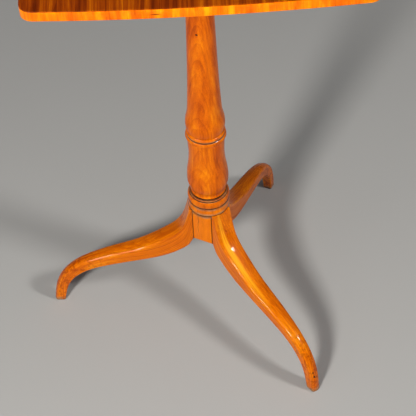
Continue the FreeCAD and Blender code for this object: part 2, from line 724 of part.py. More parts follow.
def window_half_width():
    return dim["bolt_width"] / 2 + dim["bolt_gap"] * 4


def window_half_height():
    return dim["bolt_height"] / 2 + dim["bolt_gap"] * 4


def keeper_screw_places():
    return (-dim["keeper_screw_reach"], dim["keeper_screw_reach"])


def make_pins():
    """Turned hardwood pivot pins, glued in the block and free to turn in the battens."""
    outside = dim["block_width"] / 2
    for label, start in (("pivot_pin_front", outside - dim["pin_in_block"]),
                         ("pivot_pin_back", -outside - dim["pin_in_batten"])):
        body = new_body(label)
        sketch = new_sketch(body, f"{label}_round", "XZ_Plane", (0, 0, start))
        circle(sketch, dim["pin_radius"], pivot_reach, pivot_height)
        pad(body, sketch, dim["pin_in_block"] + dim["pin_in_batten"])


def make_wedge():
    body = new_body("tenon_wedge")
    sketch = new_sketch(body, "WedgeProfile", "XZ_Plane")
    wedge_outline(sketch, dim["glue_gap"], Size(0))
    pad(body, sketch, dim["wedge_length"], midplane=True)


def half_round(half):
    """Radius of a very nearly half-circular end, kept just over half the width."""
    return half * HALF_ROUND


def make_spider_plate():
    """The iron plate under the hub: a disc with an arm under each leg's dovetail."""
    body = new_body("spider_plate")
    top = dim["hub_bottom"]
    bottom = top - dim["plate_thickness"]
    disc = new_sketch(body, "PlateDisc", place=(0, 0, bottom))
    circle(disc, dim["plate_radius"])
    pad(body, disc, dim["plate_thickness"])
    side = dim["plate_arm_width"] / 2
    for label, azimuth in LEGS.items():
        arm = new_sketch(body, f"{label}_arm", place=(0, 0, bottom), angle=azimuth)
        draw(arm, [(Size(0), -side), ("line", dim["plate_arm"] - side, -side),
                   ("arc", dim["plate_arm"] - side, side, half_round(side), 1),
                   ("line", Size(0), side), ("line", Size(0), -side)])
        pad(body, arm, dim["plate_thickness"])
    for label, azimuth in LEGS.items():
        hole = new_sketch(body, f"{label}_screw_hole", place=(0, 0, bottom), angle=azimuth)
        circle(hole, dim["small_screw_shank"] + dim["glue_gap"], dim["plate_screw_reach"])
        pocket = body.newObject("PartDesign::Pocket", f"{label}_screw_hole_cut")
        pocket.Profile = hole
        pocket.Type = "ThroughAll"
        pocket.Midplane = True
        check_cut(body, pocket)


def make_keeper():
    """The brass keeper on the block's face, with a window for the bolt."""
    body = new_body("keeper_plate")
    face = block_face - dim["keeper_thickness"]
    sketch = new_sketch(body, "KeeperOutline", "YZ_Plane", (0, 0, face))
    half_width = dim["keeper_width"] / 2
    half_height = dim["keeper_height"] / 2
    round_end = half_round(half_height)
    shoulder = half_width - half_height
    low = bolt_height - half_height
    high = bolt_height + half_height
    draw(sketch, [(-shoulder, low), ("line", shoulder, low), ("arc", shoulder, high, round_end, 1),
                  ("line", -shoulder, high), ("arc", -shoulder, low, round_end, 1)])
    rectangle(sketch, -window_half_width(), bolt_height - window_half_height(),
              window_half_width(), bolt_height + window_half_height())
    for y in keeper_screw_places():
        circle(sketch, dim["small_screw_shank"] + dim["glue_gap"], y, bolt_height)
    pad(body, sketch, dim["keeper_thickness"])


def make_catch_case():
    """The brass case under the top: a flanged box with a channel and a slot for the stem."""
    body = new_body("catch_case")
    end = case_front - dim["case_length"]
    flange_floor = top_underside - dim["flange_thickness"]
    flange = new_sketch(body, "FlangeOutline", place=(0, 0, flange_floor))
    side = dim["flange_width"] / 2
    rectangle(flange, end - dim["flange_tail"], -side, case_front + dim["flange_overhang"], side)
    pad(body, flange, dim["flange_thickness"])
    box = new_sketch(body, "CaseOutline", place=(0, 0, top_underside - dim["case_depth"]))
    rectangle(box, end, -(dim["case_width"] / 2), case_front, dim["case_width"] / 2)
    pad(body, box, dim["case_depth"])
    gap = dim["bolt_gap"]
    half_width = dim["bolt_width"] / 2 + gap
    half_height = dim["bolt_height"] / 2 + gap
    channel_end = bolt_tip - dim["bolt_length"] - gap
    cut_box(body, "BoltChannel", (channel_end, -half_width, bolt_height - half_height),
            (case_front + OVERRUN, half_width, bolt_height + half_height))
    slot = dim["knob_stem"] + gap * 3
    floor = top_underside - dim["case_depth"] - OVERRUN
    cut_box(body, "StemSlot", (knob_place - slot, -slot, floor),
            (knob_place + dim["bolt_travel"] + slot, slot, bolt_height))
    for number, (x, y) in enumerate(case_screw_places()):
        drill(body, f"FlangeHole{number}", (x, y, floor),
              dim["small_screw_shank"] + dim["glue_gap"], dim["case_depth"] + 2 * OVERRUN)


def make_bolt():
    """The sliding bolt, bevelled at its tip, and the turned knob screwed into it."""
    body = new_body("catch_bolt")
    half_width = dim["bolt_width"] / 2
    low = bolt_height - dim["bolt_height"] / 2
    high = bolt_height + dim["bolt_height"] / 2
    tail = bolt_tip - dim["bolt_length"]
    bevel = dim["bolt_height"] / 2
    sketch = new_sketch(body, "BoltProfile", "XZ_Plane")
    draw(sketch, [(tail, low), ("line", bolt_tip - bevel, low), ("line", bolt_tip, bolt_height),
                  ("line", bolt_tip, high), ("line", tail, high), ("line", tail, low)])
    pad(body, sketch, half_width * 2, midplane=True)
    knob = new_body("catch_knob")
    bottom = -dim["knob_length"]
    stem = dim["knob_stem"]
    profile = new_sketch(knob, "KnobProfile", "XZ_Plane")
    draw(profile, [(Size(0), bottom), ("line", dim["knob_flat"], bottom),
                   ("arc", dim["knob_radius"], -dim["knob_widest"], dim["knob_lower_round"], 1),
                   ("arc", stem, -dim["knob_neck"], dim["knob_upper_round"], 1),
                   ("line", stem, Size(0)), ("line", Size(0), Size(0)), ("line", Size(0), bottom)])
    revolve(knob, profile)
    seat = FreeCAD.Vector(float(knob_place), 0, float(low))
    knob.Placement = FreeCAD.Placement(seat, FreeCAD.Rotation())
    knob.setExpression("Placement.Base.x", knob_place.text)
    knob.setExpression("Placement.Base.z", low.text)


def wood_screw(name, size, place, direction):
    """One screw: countersunk head, shank and point, with a driver slot in the head."""
    head, shank, length = [dim[f"{size}_screw_{field}"] for field in SCREW_FIELDS]
    cone_height = head - shank
    point = shank * 2
    pieces = [
        ("Cone", {"Radius1": head, "Radius2": shank, "Height": cone_height}, Size(0)),
        ("Cylinder", {"Radius": shank, "Height": length - point}, Size(0)),
        ("Cone", {"Radius1": shank, "Radius2": SCREW_TIP, "Height": point}, length - point),
    ]
    turn = FreeCAD.Rotation(LOCAL_Z, direction)
    solids = []
    for number, (kind, sizes, rise) in enumerate(pieces):
        solid = doc.addObject(f"Part::{kind}", f"{name}_{number}")
        for label, value in sizes.items():
            bind(solid, label, value)
        solid.Placement = FreeCAD.Placement(direction * float(rise), turn)
        solids.append(solid)
    whole = doc.addObject("Part::MultiFuse", f"{name}_whole")
    whole.Shapes = solids
    slot = doc.addObject("Part::Box", f"{name}_slot")
    bind(slot, "Length", head * 2)
    slot.Width = SLOT_WIDTH
    slot.Height = SLOT_WIDTH
    corner = turn.multVec(FreeCAD.Vector(-float(head), -SLOT_WIDTH / 2, 0))
    slot.Placement = FreeCAD.Placement(corner, turn)
    screw = doc.addObject("Part::Cut", name)
    screw.Base = whole
    screw.Tool = slot
    screw.Placement.Base = FreeCAD.Vector(*[float(value) for value in place])
    for letter, value in zip("xyz", place):
        if isinstance(value, Size):
            screw.setExpression(f"Placement.Base.{letter}", value.text)
    return screw


def make_screws():
    """Each kind of screw is one group of separate solids."""
    batten_seat = top_underside - dim["batten_depth"] + sunk_head()
    case_seat = top_underside - dim["flange_thickness"] - flat_head()
    keeper_seat = block_face - dim["keeper_thickness"] - flat_head()
    groups = {
        "batten_screws": [("large", (x, y, batten_seat), LOCAL_Z)
                          for x, y in batten_screw_places()],
        "case_screws": [("small", (x, y, case_seat), LOCAL_Z) for x, y in case_screw_places()],
        "keeper_screws": [("small", (keeper_seat, y, bolt_height), LOCAL_X)
                          for y in keeper_screw_places()],
        "spider_screws": [("small", plate_screw_place(azimuth), LOCAL_Z)
                          for azimuth in LEGS.values()],
    }
    for label, screws in groups.items():
        group = doc.addObject("Part::Compound", label)
        group.Label = label
        group.Links = [wood_screw(f"{label}_{number}", *screw)
                       for number, screw in enumerate(screws)]
        sub_parts.append(group)


def flat_head():
    """How far a small screw's head stands out of the plate that it holds."""
    return dim["small_screw_head"] - dim["small_screw_shank"]


def plate_screw_place(azimuth):
    direction = FreeCAD.Rotation(LOCAL_Z, float(azimuth)).multVec(LOCAL_X)
    reach = direction * float(dim["plate_screw_reach"])
    return (reach.x, reach.y, dim["hub_bottom"] - dim["plate_thickness"] - flat_head())


def write_parts():
    """Check the whole document, then write each sub-part to its own file."""
    doc.recompute()
    failed = [item.Label for item in doc.Objects if {"Invalid", "Error"} & set(item.State)]
    failed += [item.Label for item in sub_parts
               if item.Shape.isNull() or not item.Shape.isValid()]
    if failed:
        raise RuntimeError(f"failed to build: {failed}")
    os.makedirs("parts", exist_ok=True)
    for item in sub_parts:
        item.Shape.exportStep(f"parts/{item.Label}.step")
        print(f"{item.Label:18} {len(item.Shape.Solids)} solids {item.Shape.Volume:12.1f} mm3")


make_top_veneer()
make_edge_banding()
make_core_boards()
make_battens()
make_column()
for leg, heading in LEGS.items():
    make_leg(leg, heading)
make_spider_plate()
make_block()
make_pins()
make_wedge()
make_keeper()
make_catch_case()
make_bolt()
make_screws()
write_parts()
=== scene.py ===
import math

import bmesh
import bpy
import numpy as np
from mathutils import Matrix, Vector


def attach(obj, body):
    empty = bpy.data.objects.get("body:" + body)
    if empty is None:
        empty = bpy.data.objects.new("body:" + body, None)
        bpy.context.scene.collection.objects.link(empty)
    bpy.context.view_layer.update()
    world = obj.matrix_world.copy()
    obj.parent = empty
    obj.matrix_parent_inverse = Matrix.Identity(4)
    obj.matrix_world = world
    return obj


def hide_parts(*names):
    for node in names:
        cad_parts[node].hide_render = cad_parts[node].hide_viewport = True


# The looks of a tilt-top table: a varnished satinwood pillar on three swept legs and a
# bowed top edged with crosscut veneer. Lengths are in millimetres until a mesh is made.

MM = 0.001

# Pillar outline, as radius and height
HUB_RADIUS, HUB_BOTTOM, HUB_TOP = 28.5, 137.5, 197.3
LINE, STEP = 0.9, 0.6     # how deep an incised line is, and the height a step takes
BLOCK_BOTTOM, BLOCK_TOP = 705.4, 727.4
TENON_RADIUS, TENON_TOP = 11.0, BLOCK_TOP - 0.15
PILLAR_STEPS = [
    (0.0, HUB_BOTTOM),
    ("line", HUB_RADIUS, HUB_BOTTOM),
    ("line", HUB_RADIUS, HUB_TOP),
    ("line", HUB_RADIUS - LINE, HUB_TOP + STEP / 2),
    ("line", 28.8, HUB_TOP + STEP),
    ("line", 28.8, 211.9),
    ("line", 28.8 - LINE, 211.9 + STEP / 2),
    ("line", 28.8 - LINE / 3, 211.9 + STEP),
    ("arc", 27.6, 223.2, 13.0, 1),
    ("line", 26.6 - LINE / 2, 223.2 + STEP / 3),
    ("line", 26.6, 223.2 + STEP),
    ("line", 26.6, 225.7),
    ("line", 22.8, 225.7 + STEP / 2),
    ("line", 22.8, 228.4),
    ("line", 24.8, 228.8),
    ("arc", 23.7, 231.4, 3.6, -1),
    ("smooth", 24.78, 235.82),
    ("smooth", 28.6, 251.5),
    ("smooth", 26.7, 274.5),
    ("smooth", 24.7, 312.0),
    ("smooth", 24.7 + LINE / 3, 328.6 - STEP / 2),
    ("line", 25.4, 328.6),
    ("arc", 25.4, 336.2, 4.4, 1),
    ("line", 24.7, 336.2 + STEP),
    ("line", 26.2, 337.5),
    ("line", 26.3, 340.0),
    ("arc", 24.8, 342.4, 2.6, 1),
    ("line", 24.5, 343.2),
    ("arc", 26.6, 355.5, 37.07, 1),
    ("smooth", 25.2, 367.0),
    ("smooth", 22.9, 382.0),
    ("smooth", 20.5, 432.0),
    ("smooth", 16.8, BLOCK_BOTTOM),
    ("line", TENON_RADIUS, BLOCK_BOTTOM),
    ("line", TENON_RADIUS, TENON_TOP),
    ("line", 0.0, TENON_TOP),
]
PILLAR_COLUMNS, PILLAR_EASE, PILLAR_SPAN = 168, 0.45, 6.0
# Rings across the hub's flat foot, closest together where the arches start
FOOT_RINGS = (2, 6, 10, 12.6, 13.2, 15, 17, 19.5, 22, 24.5, 26.5)

# Painted shade, also standing for dirt, lies where the outline is hollow by the second number
# below, and in crevices given as height and spread; the two ends say how many spreads away it
# stops. An edge that stands proud by the third number is fully lightened, as wear and painted
# highlight.
HOLLOW_REACH, DARKENED_DEPTH, PROUD_DEPTH = 2.2, 0.33, 0.36
HOLLOW_SPREAD, HOLLOW_END = 0.7, 2.0
SHADED_CREVICES, CREVICE_END = ((337.1, 0.75), (226.1, 0.28)), 1.9

# Shallow arches in the hub's lower edge, midway between each two legs
ARCH_RISE, ARCH_RADIUS, ARCH_START = 6.0, 22.0, 13.0

# Legs: azimuth in degrees, and stations as reach, height, lean, depth, width, shoulder
LEGS = {"leg_left": 179.5, "leg_front_right": 305.3, "leg_back_right": 64.2}
LEG_STATIONS = [
    (22.3, 181.8, 0.0, 86.6, 30.0, 2.0),
    (28.9, 161.9, 0.2, 69.8, 29.8, 2.2),
    (37.2, 140.2, 5.5, 44.7, 29.4, 2.6),
    (60.0, 121.3, 11.9, 34.9, 28.2, 3.6),
    (99.4, 104.6, 21.4, 26.5, 26.4, 5.0),
    (130.7, 96.5, 28.3, 23.6, 24.6, 5.8),
    (164.1, 86.9, 37.2, 22.0, 21.4, 5.8),
    (190.8, 75.1, 48.0, 20.2, 18.6, 5.4),
    (217.3, 49.2, 65.6, 17.9, 16.2, 5.0),
    (231.3, 0.0, 90.0, 15.7, 13.9, 4.6),
]
BELLY_RATIO, CROWN_RATIO = 0.14, 0.045
SCRIBE_RADIUS = HUB_RADIUS + 0.05
FOOT_ROUND = 2.4
# The dovetail's sizes; it runs on into the leg and stands below the hub by a little
DOVETAIL = {"neck": 11.0, "root": 15.0, "depth": 12.0, "top": 186.0, "into_leg": 0.6,
            "below_hub": 0.12}
# Rows of a leg's mesh, closer together up to the first of two shares of its length and after
# the second, and the steps in which the start of each line at the hub is looked for
LEG_SHARES, LEG_ROWS, SCRIBE_STEPS = (0.04, 0.985), (9, 110, 9), 900
# How the grain strays from the leg's sweep: by how much, over what length, and its rise
GRAIN_SWAY, SWAY_LENGTH, GRAIN_RISE = 5.0, 41.0, 0.03
# Painted shade and dirt on the foot up to a height, and wear and painted highlight on the
# upper arrises, as places across the leg
FOOT_DARK_TOP, FOOT_DARKENING = 9.0, 0.7
ARRIS_PLACE, ARRIS_SPREAD, ARRIS_WEAR_AND_SHEEN = 0.86, 0.1, 0.5

# Table top
TOP_HEIGHT, TOP_WIDTH, TOP_LENGTH, TOP_THICKNESS = 740.0, 371.3, 475.2, 12.4
END_BOW, SIDE_BOW, TOP_CORNER = 7.5, 6.0, 14.5
VENEER, BANDING = 1.0, 1.6
TOP_ARRIS, BANDING_ARRIS, BANDING_UPPER_ARRIS = 0.8, 0.5, 0.12
TOP_UNDERSIDE = TOP_HEIGHT - TOP_THICKNESS
CLEARANCE = 0.06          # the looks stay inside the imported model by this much

# Copied pieces: the distance between points that are one, in metres, and the angles of one
# flat, of an edge that is eased and of a sharp edge, in degrees
SAME_POINT, SAME_FLAT, EASED_EDGE, SHARP_EDGE = 2e-6, 0.6, 38.0, 34.0

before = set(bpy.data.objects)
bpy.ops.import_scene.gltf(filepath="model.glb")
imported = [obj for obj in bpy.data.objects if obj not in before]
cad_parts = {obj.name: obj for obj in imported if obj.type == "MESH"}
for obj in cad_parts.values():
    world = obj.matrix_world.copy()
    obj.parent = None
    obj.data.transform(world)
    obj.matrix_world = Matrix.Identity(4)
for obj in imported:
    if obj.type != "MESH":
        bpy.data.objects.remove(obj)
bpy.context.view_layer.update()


# ---------------------------------------------------------------- outlines


def turned(vector, angle):
    """A flat vector turned by an angle."""
    c, s = math.cos(angle), math.sin(angle)
    return np.array((vector[0] * c - vector[1] * s, vector[0] * s + vector[1] * c))


def follow(steps, spacing=0.8, most=36):
    """Points along an outline of lines and arcs. A smooth arc is tangent to what comes before."""
    points = [np.array(steps[0], float)]
    heading = 0.0
    for kind, x, y, *shape in steps[1:]:
        start = points[-1]
        chord = np.array((x, y)) - start
        length = np.linalg.norm(chord)
        along = math.atan2(chord[1], chord[0])
        bend = 0.0
        if kind == "smooth":
            bend = math.remainder(along - heading, 2 * math.pi)
        elif kind == "arc":
            radius, turn = shape
            bend = math.asin(length / 2 / radius) * turn
        count = min(most, math.ceil(length / spacing)) if abs(bend) > 1e-6 else 1
        for number in range(1, count + 1):
            share = number / count
            reach = math.sin(bend * share) / math.sin(bend) if abs(bend) > 1e-6 else share
            points.append(start + turned(chord, -bend * (1 - share)) * reach)
        heading = along + bend
    return np.array(points)


def eased(points, radius, limit=24.0, most=0.42):
    """Rounds the corners sharper than a limit, using at most this share of each span."""
    out = [points[0]]
    for before, corner, after in zip(points, points[1:], points[2:]):
        come, go = corner - before, after - corner
        come_length, go_length = np.linalg.norm(come), np.linalg.norm(go)
        bend = abs(math.atan2(come[0] * go[1] - come[1] * go[0], come @ go))
        if math.degrees(bend) < limit:
            out.append(corner)
            continue
        set_back = min(radius * math.tan(bend / 2), most * come_length, most * go_length)
        first = corner - come / come_length * set_back
        last = corner + go / go_length * set_back
        for late in (0.0, 0.25, 0.5, 0.75, 1.0):
            early = 1 - late
            out.append(first * early ** 2 + corner * 2 * late * early + last * late ** 2)
    out.append(points[-1])
    return np.array(out)


def divided(points, longest):
    """Splits the long spans of a line of points."""
    out = [points[0]]
    for start, end in zip(points, points[1:]):
        count = max(1, math.ceil(np.linalg.norm(end - start) / longest))
        out += [start + (end - start) * number / count for number in range(1, count + 1)]
    return np.array(out)


def smooth_through(values, knots, places):
    """A natural cubic spline through rows of values at knots, read at any places."""
    gaps = np.diff(knots)
    size = len(knots)
    system = np.eye(size)
    wanted = np.zeros((size, values.shape[1]))
    for row in range(1, size - 1):
        system[row, row - 1:row + 2] = gaps[row - 1], 2 * (gaps[row - 1] + gaps[row]), gaps[row]
        rises = np.diff(values[row - 1:row + 2], axis=0) / gaps[row - 1:row + 1, None]
        wanted[row] = 6 * (rises[1] - rises[0])
    curve = np.linalg.solve(system, wanted)
    spans = np.clip(np.searchsorted(knots, places, side="right") - 1, 0, size - 2)
    gap = gaps[spans][..., None]
    late = (places - knots[spans])[..., None] / gap
    early = 1 - late
    pull = (early ** 3 - early) * curve[spans] + (late ** 3 - late) * curve[spans + 1]
    return early * values[spans] + late * values[spans + 1] + pull * gap ** 2 / 6


# ---------------------------------------------------------------- meshes


def make_piece(name, vertices, faces, body, material, stands_for=(), sharp=32.0, turn=0.0):
    """A mesh object from points in millimetres, smooth except at its sharp edges."""
    mesh = bpy.data.meshes.new(name)
    mesh.from_pydata((np.asarray(vertices) * MM).tolist(), [], faces)
    return finish_piece(name, mesh, body, material, stands_for, sharp, turn)


def finish_piece(name, mesh, body, material, stands_for=(), sharp=32.0, turn=0.0):
    """Gives a mesh its shading and material and sets it on its body, in place of CAD nodes."""
    solid = bmesh.new()
    solid.from_mesh(mesh)
    bmesh.ops.recalc_face_normals(solid, faces=solid.faces)
    for face in solid.faces:
        face.smooth = True
    solid.to_mesh(mesh)
    solid.free()
    mesh.set_sharp_from_angle(angle=math.radians(sharp))
    mesh.materials.clear()
    mesh.materials.append(material)
    piece = bpy.data.objects.new(name, mesh)
    bpy.context.scene.collection.objects.link(piece)
    piece.rotation_euler = (0, 0, math.radians(turn))
    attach(piece, body)
    if stands_for:
        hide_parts(*stands_for)
    return piece


def add_attribute(piece, name, values):
    """A number or a vector for each vertex, for the material to read."""
    values = np.asarray(values, np.float32)
    kind, field = ("FLOAT", "value") if values.ndim == 1 else ("FLOAT_VECTOR", "vector")
    data = piece.data.attributes.new(name, kind, "POINT")
    data.data.foreach_set(field, values.ravel())


def grid_faces(rows, columns, first=0):
    """Quads between rows of points, each row closed on itself."""
    faces = []
    for row in range(rows - 1):
        for column in range(columns):
            right = (column + 1) % columns
            low, high = first + row * columns, first + (row + 1) * columns
            faces.append((low + column, low + right, high + right, high + column))
    return faces


def cap_faces(centre, start, columns, flip=False):
    """A fan from a centre point to a closed row."""
    fan = []
    for column in range(columns):
        pair = (start + column, start + (column + 1) % columns)
        fan.append((centre, *(pair[::-1] if flip else pair)))
    return fan


# ---------------------------------------------------------------- pillar


def arch_lift(angle, radius):
    """How far the hub's foot is cut up at this place by the nearest arch."""
    azimuths = list(LEGS.values())
    middles = [
        (azimuths[0] + azimuths[1]) / 2,
        (azimuths[1] + azimuths[2]) / 2 + 180,
        (azimuths[2] + azimuths[0]) / 2,
    ]
    lift = np.zeros_like(angle)
    for middle in middles:
        away = angle - math.radians(middle)
        out, side = radius * np.cos(away), radius * np.sin(away)
        arch = ARCH_RISE - ARCH_RADIUS + np.sqrt(np.maximum(ARCH_RADIUS ** 2 - side ** 2, 0))
        lift = np.maximum(lift, np.where(out > ARCH_START, np.maximum(arch, 0), 0))
    return lift


def make_pillar(material):
    """The turned pillar, with painted shade and dirt in its grooves and wear and painted highlight
    on its proud edges.
    """
    columns = PILLAR_COLUMNS
    profile = eased(follow(PILLAR_STEPS), PILLAR_EASE)
    foot = np.array([(radius, HUB_BOTTOM) for radius in FOOT_RINGS])
    profile = divided(np.vstack((profile[:1], foot, profile[1:])), PILLAR_SPAN)[1:-1]
    radius, height = profile[:, :1], profile[:, 1:]
    angle = np.linspace(0, 2 * math.pi, columns, endpoint=False)[None, :]
    share = np.clip((HUB_TOP - height) / (HUB_TOP - HUB_BOTTOM), 0, 1)
    lifted = height + arch_lift(angle + radius * 0, radius + angle * 0) * share
    rows = np.stack((radius * np.cos(angle), radius * np.sin(angle), lifted), -1)
    ends = np.array([(0, 0, HUB_BOTTOM), (0, 0, TENON_TOP)])
    vertices = np.vstack((rows.reshape(-1, 3), ends))
    count = len(profile)
    faces = grid_faces(count, columns)
    faces += cap_faces(count * columns, 0, columns, True)
    faces += cap_faces(count * columns + 1, (count - 1) * columns, columns)
    pillar = make_piece("pillar", vertices, faces, "pedestal", material, ["column"])
    spans = np.linalg.norm(np.diff(profile, axis=0), axis=1)
    along = np.concatenate(((0,), np.cumsum(spans)))
    hollow = hollowness(profile, along, HOLLOW_REACH)
    # painted shade, also standing for dirt, in the hollows of the outline and in two crevices
    away = np.abs(along[:, None] - along[hollow > DARKENED_DEPTH]).min(1)
    dirt_and_shade = np.clip(HOLLOW_END - away / HOLLOW_SPREAD, 0, 1)
    for crevice, spread in SHADED_CREVICES:
        away = np.abs(profile[:, 1] - crevice)
        dirt_and_shade = np.maximum(dirt_and_shade, np.clip(CREVICE_END - away / spread, 0, 1))
    # proud edges lighten: wear, and a painted highlight
    wear_and_highlight = np.clip(-hollow / PROUD_DEPTH, 0, 1)
    for name, row in (("dirt_and_shade", dirt_and_shade), ("wear_and_highlight", wear_and_highlight)):
        add_attribute(pillar, name, np.append(np.repeat(row, columns), (0, 0)))


def hollowness(profile, along, reach):
    """How far each point of a profile lies inside the mean of the points near it."""
    weights = np.gradient(along)
    hollow = []
    for place, (radius, _) in zip(along, profile):
        near = np.maximum(0, 1 - np.abs(along - place) / reach) * weights
        hollow.append((near @ profile[:, 0]) / near.sum() - radius)
    return np.array(hollow)


# ---------------------------------------------------------------- legs


def leg_section(width, depth, shoulder):
    """A leg's outline, as across and up, for arrays of sizes: one array for each point."""
    half, belly, crown = width / 2, width * BELLY_RATIO, width * CROWN_RATIO
    low, top = -depth / 2, depth / 2 - crown
    flat = half - shoulder
    crown_radius = (flat ** 2 + crown ** 2) / (2 * crown)
    right = []
    for share in np.linspace(0, 1, 5)[:-1]:
        right.append(((half - belly) * share, low))
    for angle in np.linspace(-math.pi / 2, 0, 6):
        right.append((half - belly + belly * math.cos(angle),
                      low + belly + belly * math.sin(angle)))
    for share in np.linspace(0, 1, 11)[1:-1]:
        right.append((half, low + belly + (top - shoulder - low - belly) * share))
    for angle in np.linspace(0, math.pi / 2, 7):
        right.append((flat + shoulder * math.cos(angle),
                      top - shoulder + shoulder * math.sin(angle)))
    for share in np.linspace(1, 0, 8)[1:]:
        across = flat * share
        arc = np.sqrt(crown_radius ** 2 - across ** 2)
        right.append((across, top + crown - crown_radius + arc))
    left = [(-across, up) for across, up in right[-2:0:-1]]
    return right + left


def leg_rows():
    """Points of one leg along +X: rows from the hub to the floor, one column for each line."""
    stations = np.array(LEG_STATIONS)
    spans = np.linalg.norm(np.diff(stations[:, :2], axis=0), axis=1)
    knots = np.concatenate(((0,), np.cumsum(spans)))

    def points(along):
        """Points at these distances along the leg, a column for each line of the section."""
        values = smooth_through(stations, knots, along)
        reach, height, lean, depth, width, shoulder = np.moveaxis(values, -1, 0)
        lean, section = np.radians(lean), leg_section(width, depth, shoulder)
        across = np.stack([line[0][:, number] for number, line in enumerate(section)], 1)
        up = np.stack([line[1][:, number] for number, line in enumerate(section)], 1)
        return np.stack((reach + up * np.sin(lean), across, height + up * np.cos(lean)), -1), up

    lines = len(leg_section(1.0, 1.0, 0.1))
    # each line starts where it leaves the hub, which is before the fourth station
    search = np.repeat(np.linspace(0, knots[3], SCRIBE_STEPS)[:, None], lines, 1)
    found, _ = points(search)
    outside = np.hypot(found[..., 0], found[..., 1]) > SCRIBE_RADIUS
    first = search[np.argmax(outside, 0), np.arange(lines)]
    shares = np.concatenate([
        np.linspace(start, end, rows)[:-1]
        for start, end, rows in zip((0, *LEG_SHARES), (*LEG_SHARES, 1), LEG_ROWS)] + [(1.0,)])
    along = first + (knots[-1] - first) * shares[:, None]
    rows, up = points(along)
    rows[..., 2] = np.minimum(rows[..., 2], HUB_TOP)
    # the foot's edge is rounded where it meets the floor
    low = np.clip(FOOT_ROUND - rows[..., 2], 0, FOOT_ROUND)
    inset = FOOT_ROUND - np.sqrt(FOOT_ROUND ** 2 - low ** 2)
    middle = np.array((stations[-1, 0], 0.0))
    outward = rows[..., :2] - middle
    rows[..., :2] -= outward / np.linalg.norm(outward, axis=-1)[..., None] * inset[..., None]
    return rows, along, up


def dovetail_prism():
    """The leg's dovetail tenon, as a closed prism from the hub's foot up into the hub."""
    inside = HUB_RADIUS - DOVETAIL["depth"]
    neck, root = DOVETAIL["neck"] / 2, DOVETAIL["root"] / 2
    outside = HUB_RADIUS + DOVETAIL["into_leg"]
    outline = [(inside, -root), (outside, -neck), (outside, neck), (inside, root)]
    levels = (HUB_BOTTOM - DOVETAIL["below_hub"], DOVETAIL["top"])
    return [(x, y, z) for z in levels for x, y in outline]


def make_leg(label, azimuth, material):
    """A swept leg with its tenon, and the grain, painted shade and dirt, and wear and painted
    highlight that follow it.
    """
    rows, along, up = leg_rows()
    count, lines = rows.shape[:2]
    heel = rows[-1].mean(0)
    root = rows[0].mean(0)
    vertices = np.vstack((rows.reshape(-1, 3), root, heel, dovetail_prism()))
    total = count * lines
    faces = grid_faces(count, lines)
    faces += cap_faces(total, 0, lines, True)
    faces += cap_faces(total + 1, (count - 1) * lines, lines)
    prism = total + 2
    faces += grid_faces(2, 4, prism)
    faces += [(prism + 3, prism + 2, prism + 1, prism), tuple(range(prism + 4, prism + 8))]
    leg = make_piece(label + "_swept", vertices, faces, "pedestal", material,
                     [label], turn=azimuth)
    extra = len(vertices) - total
    # the grain follows the sweep: across the leg, through its depth and along it
    drift = up + GRAIN_SWAY * np.sin(along / SWAY_LENGTH) + GRAIN_RISE * along
    grain = np.stack((rows[..., 1], drift, along), -1).reshape(-1, 3)
    add_attribute(leg, "grain", np.vstack((grain, vertices[total:, [1, 0, 2]])) * MM)
    # the foot darkens towards the floor, painted shade that also stands for dirt
    foot = np.clip(1 - rows[..., 2] / FOOT_DARK_TOP, 0, 1).ravel()
    aside = np.abs(rows[..., 1]) / np.abs(rows[..., 1]).max(1, keepdims=True)
    # the upper arrises lighten: wear, and a painted highlight
    edges = np.clip(1 - np.abs(aside - ARRIS_PLACE) / ARRIS_SPREAD, 0, 1) * (up > 0)
    add_attribute(leg, "dirt_and_shade", np.append(foot * FOOT_DARKENING, np.zeros(extra)))
    add_attribute(leg, "wear_and_highlight", np.append(edges * ARRIS_WEAR_AND_SHEEN, np.zeros(extra)))


# ---------------------------------------------------------------- table top


def top_outline():
    """The top's outline and its outward normals: four bows and four rounded corners."""
    half_width, half_length = TOP_WIDTH / 2, TOP_LENGTH / 2
    end_radius = (half_width ** 2 + END_BOW ** 2) / (2 * END_BOW)
    side_radius = (half_length ** 2 + SIDE_BOW ** 2) / (2 * SIDE_BOW)
    near = np.array((0.0, end_radius - half_length))
    far = np.array((half_width - side_radius, 0.0))
    near_reach, far_reach = end_radius - TOP_CORNER, side_radius - TOP_CORNER
    span = np.linalg.norm(far - near)
    unit = (far - near) / span
    along = (span ** 2 + near_reach ** 2 - far_reach ** 2) / (2 * span)
    rise = math.sqrt(near_reach ** 2 - along ** 2)
    aside = np.array((-unit[1], unit[0])) * rise
    crossings = [near + unit * along + aside * side for side in (1, -1)]
    centre = max(crossings, key=lambda point: point[0] - point[1])
    end_turn = math.atan2(*(centre - near)[::-1])
    side_turn = math.atan2(*(centre - far)[::-1])
    quarter = []
    for pivot, radius, low, high, count in (
            (near, end_radius, -math.pi / 2, end_turn, 44),
            (centre, TOP_CORNER, end_turn, side_turn, 16),
            (far, side_radius, side_turn, 0.0, 56)):
        for angle in np.linspace(low, high, count, endpoint=False):
            normal = np.array((math.cos(angle), math.sin(angle)))
            quarter.append((pivot + normal * radius, normal))
    quarter.append((np.array((half_width, 0.0)), np.array((1.0, 0.0))))
    right = quarter + [(p * (1, -1), n * (1, -1)) for p, n in quarter[-2::-1]]
    whole = right + [(p * (-1, 1), n * (-1, 1)) for p, n in right[-2:0:-1]]
    return np.array([p for p, _ in whole]), np.array([n for _, n in whole])


def arris(inset, height, radius, turn_in, turn_up, count=5):
    """Points, as inset and height, round an edge that stands at this inset and height."""
    centre = (inset + radius, height - radius * turn_up)
    angles = np.linspace(0, math.pi / 2, count)
    points = [(centre[0] - radius * math.cos(a), centre[1] + radius * turn_up * math.sin(a))
              for a in angles]
    return points[::-1] if turn_in else points


